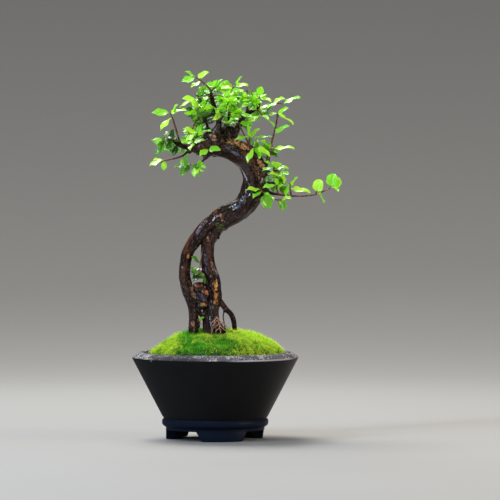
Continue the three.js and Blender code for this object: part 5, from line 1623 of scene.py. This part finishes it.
def twigCopy(twig, tone, random):
    # a bowed twig with a slight zigzag and swollen joints
    sizes = twigSizes
    along = unit(twig["tip"] - twig["root"])
    side = unit(np.cross(along, (0.2, 0.3, 1)))
    start = random() * 6
    points, radii = [], []
    for i in range(sizes["steps"] + 1):
        t = i / sizes["steps"]
        sway = side * sizes["sway"] * math.sin(9 * t + start) * t * (1 - t) * 4
        points.append(twigPoint(twig, t) + sway)
        joint = 1 + sizes["joints"] * math.sin(25 * t + start)
        radii.append((sizes["radius"] - sizes["taper"] * t) * joint)
    tube = tubeAlong(points, radii, sizes["around"])
    return tube, tube["points"], tone, 1


def fillerLeaves(index, twig, random):
    # small young leaves between the others, where there is room
    found = []
    length = float(np.linalg.norm(twig["tip"] - twig["root"]))
    bare = min(0.8, (twig["hostRadius"] + 1.5) / length)
    low, high = leafSizes["small"]
    count = sprays[index].get("small", leafSizes["fillers"] if sprays[index]["more"] > 2 else 0)
    for k in range(count):
        share = bare + (1 - bare) * random()

        def propose(attempt):
            leaf = ruledLeaf(twig, min(share, 0.98), k, random, attempt)
            size = low + (high - low) * random()
            return dict(leaf, length=size, width=size * (0.52 + 0.14 * random()))

        found += placeLeaf(index, leafSizes["smallAttempts"], propose, leafSizes["smallClearance"])
    return found


def sproutLeaves(sprout, random):
    # small leaves that stand on the limb itself, and hang a little
    line = limbs[sprout["on"]]["line"]
    low, high = sprout["span"]
    small, large = sprout["size"]
    found = []
    for _ in range(sprout["count"]):
        t = low + (high - low) * random()
        centre, tangent = pointAlong(line, t), tangentAlong(line, t)
        side = turned(unit(np.cross(tangent, (0.3, 0.2, 1))), tangent, 2 * math.pi * random())

        def propose(attempt):
            outward = turned(side, tangent, 0.9 * attempt)
            along = outward + tangent * (random() - 0.3) + np.array([0, 0, -sprout["hang"] * random()])
            along = unit(along + np.array(sprout.get("way", (0, 0, 0))))
            length = small + (large - small) * random()
            facing = np.array([0.5 * (random() - 0.5), -0.5 * random(), 1.0])
            root = centre + outward * radiusAlong(line, t) * 0.9
            return makeLeaf(root, along, facing, length, length * (0.52 + 0.14 * random()), -0.15)

        found += placeLeaf(sproutOwner, leafSizes["smallAttempts"], propose, leafSizes["smallClearance"])
    return found


def keepStemsInView():
    steps = stemsInView["steps"]
    for name, low, high in stemsInView["stretches"]:
        for i in range(steps + 1):
            at = pointAlong(limbs[name]["line"], low + (high - low) * i / steps)
            for ahead in stemsInView["distances"]:
                take(at - np.array([0, ahead, 0]), stemsInView["radius"], noOwner, woodKind)


def makeSprays():
    keepStemsInView()
    template = leafTemplate()
    # leaf paints: lit, half shade (the grown green) and painted shade
    bright, halfShade, dark = [leafPaint(name) for name in ("young_leaf", "grown_or_half_shade_leaf", "shade_leaf")]
    twigFinish = twigPaint()
    total = 0
    for index, (spray, twig) in enumerate(zip(sprays, twigs)):
        random = seededRandom(9000 + 17 * index)
        copies = [twigCopy(twig, random(), random)]
        small = fillerLeaves(index, twig, random)
        total += len(leafSets[index]) + len(small)
        isDark = spray["dark"]
        for number, leaf in enumerate(leafSets[index]):
            # dim round leaves, and in dark sprays most leaves after the lit ones, go into slot 2, painted in
            # shade
            isDimRound = spray["dimRound"] and leaf.get("isRound")
            isInShade = isDimRound or (
                isDark and number >= spray["lit"] and random() < leafSizes["darkLeafShare"])
            copies.append(leafCopy(template, leaf, random(), 2 if isInShade else 0))
        # a share of the small leaves also goes into slot 2, painted in shade
        deepShare = leafSizes["darkShare"] if isDark else leafSizes["deepShare"]
        copies += [leafCopy(template, leaf, random(), 2 if random() < deepShare else 0) for leaf in small]
        # back, shaded and dark sprays are painted in half shade as usual; slot 2 is the shade paint in dark
        # sprays and the half-shade paint in others
        isShadedSpray = spray["name"].startswith("back") or spray["shaded"]
        paints = [halfShade if isShadedSpray or isDark else bright, twigFinish, dark if isDark else halfShade]
        pieceFrom("leaves_" + spray["name"], meshFromCopies(copies), paints,
                  ["spray_" + spray["name"]], 60)

    copies = []
    for number, sprout in enumerate(sprouts):
        random = seededRandom(7000 + 29 * number)
        # dark sprouts take the shade paint, the others the half-shade one
        slot = 1 if sprout.get("dark", False) else 0
        copies += [leafCopy(template, leaf, random(), slot) for leaf in sproutLeaves(sprout, random)]
    pieceFrom("leaf_sprouts", meshFromCopies(copies), [halfShade, dark], sharpAngle=60)
    print("leaves in all:", total + len(copies))


# Floor, lights and camera

viewSizes = {
    "middle": (0.0123, 0.0, 0.1700), "distance": 5.0, "elevation": 2.0, "lens": 400, "farthest": 400,
    "world": 0.17, "worldColour": (0.98, 0.97, 0.93, 1),
    "sun": 3.6, "sunWidth": 32, "sunColour": (1.0, 0.98, 0.95), "sunWay": (0.3, -0.32, -1),
}
floorSizes = {  # the floor sheet, in metres
    "gap": 0.0004, "front": -12.0, "halfWidth": 12.0, "bendStart": 0.9, "bendRadius": 2.4, "bendSteps": 32,
    "top": 5.0,
}
lightPanels = [  # name, place, width, height, power, colour
    ("left_strip", (-1.0, -0.9, 0.9), 0.12, 1.2, 22, (0.66, 0.8, 1.0)),
    ("right_strip", (1.15, -0.45, 0.4), 0.14, 0.8, 9, (1.0, 0.88, 0.74)),
    ("front_fill", (0.3, -1.6, 1.1), 0.8, 0.8, 3, (1.0, 0.98, 0.95)),
    ("back_window", (-0.15, 0.75, 0.87), 0.6, 0.36, 8, (0.95, 0.98, 1.0)),
]


def floorPaint():
    paint = Paint("pale_floor")
    tone = paint.grain(paint.place(), 0.002, 3.0)
    surface = paint.surface({
        "Base Color": paint.blend(tone, (0.28, 0.274, 0.262), (0.3, 0.294, 0.282)),
        "Roughness": 0.9 + tone * 0.1, "Specular IOR Level": 0.0,
    })
    # clear from behind, so that the bent-up part never hides the tree
    behind = paint.add("ShaderNodeNewGeometry")["Backfacing"]
    clear = paint.add("ShaderNodeBsdfTransparent")["BSDF"]
    return paint.finish(paint.mixed(behind, surface, clear))


def makeFloor():
    sizes = floorSizes
    line = [(sizes["front"], 0.0)]
    for k in range(sizes["bendSteps"] + 1):
        bend = math.pi / 2 * k / sizes["bendSteps"]
        line.append((sizes["bendStart"] + sizes["bendRadius"] * math.sin(bend),
                     sizes["bendRadius"] * (1 - math.cos(bend))))
    line.append((line[-1][0], sizes["top"]))
    bm = bmesh.new()
    shapedGrid(bm, 1, len(line) - 1, lambda turn, step: ((2 * turn - 1) * sizes["halfWidth"], *line[step]))
    if sum(face.normal.z for face in bm.faces) < 0:
        bmesh.ops.reverse_faces(bm, faces=bm.faces)
    mesh = plainMesh("floor", bm)
    mesh.polygons.foreach_set("use_smooth", [True] * len(mesh.polygons))
    mesh.materials.append(floorPaint())
    floor = linked("floor", mesh)
    floor.location.z = -sizes["gap"]


def makeLights(scene, middle):
    world = bpy.data.worlds.new("soft_room")
    world.use_nodes = True
    glow = world.node_tree.nodes["Background"]
    glow.inputs["Color"].default_value = viewSizes["worldColour"]
    glow.inputs["Strength"].default_value = viewSizes["world"]
    scene.world = world
    for name, place, width, height, power, colour in lightPanels:
        lamp = bpy.data.lights.new(name, "AREA")
        lamp.shape = "RECTANGLE"
        lamp.size = width
        lamp.size_y = height
        lamp.energy = power
        lamp.color = colour
        light = linked(name, lamp)
        light.location = place
        light.rotation_euler = (middle - Vector(place)).to_track_quat("-Z", "Y").to_euler()
    lamp = bpy.data.lights.new("soft_sky", "SUN")
    lamp.energy = viewSizes["sun"]
    lamp.angle = math.radians(viewSizes["sunWidth"])
    lamp.color = viewSizes["sunColour"]
    light = linked("soft_sky", lamp)
    light.rotation_euler = Vector(viewSizes["sunWay"]).to_track_quat("-Z", "Y").to_euler()


def makeCamera(scene, middle):
    lens = bpy.data.cameras.new("camera")
    lens.lens = viewSizes["lens"]
    lens.sensor_width = 36
    lens.clip_end = viewSizes["farthest"]
    camera = linked("camera", lens)
    rise = math.radians(viewSizes["elevation"])
    camera.location = middle + Vector((0, -math.cos(rise), math.sin(rise))) * viewSizes["distance"]
    camera.rotation_euler = (math.pi / 2 - rise, 0, 0)
    scene.camera = camera


def makeStage():
    scene = bpy.context.scene
    scene.view_settings.view_transform = "Standard"
    middle = Vector(viewSizes["middle"])
    makeFloor()
    makeLights(scene, middle)
    makeCamera(scene, middle)


makeStage()
print("stage set")
makePot()
print("pot made")
makeNet()
makeSoil()
print("net and soil made")
makeMoss()
print("moss made")
makeWood()
makeFineRoots()
print("wood made")
makeSprays()
print("sprays made")
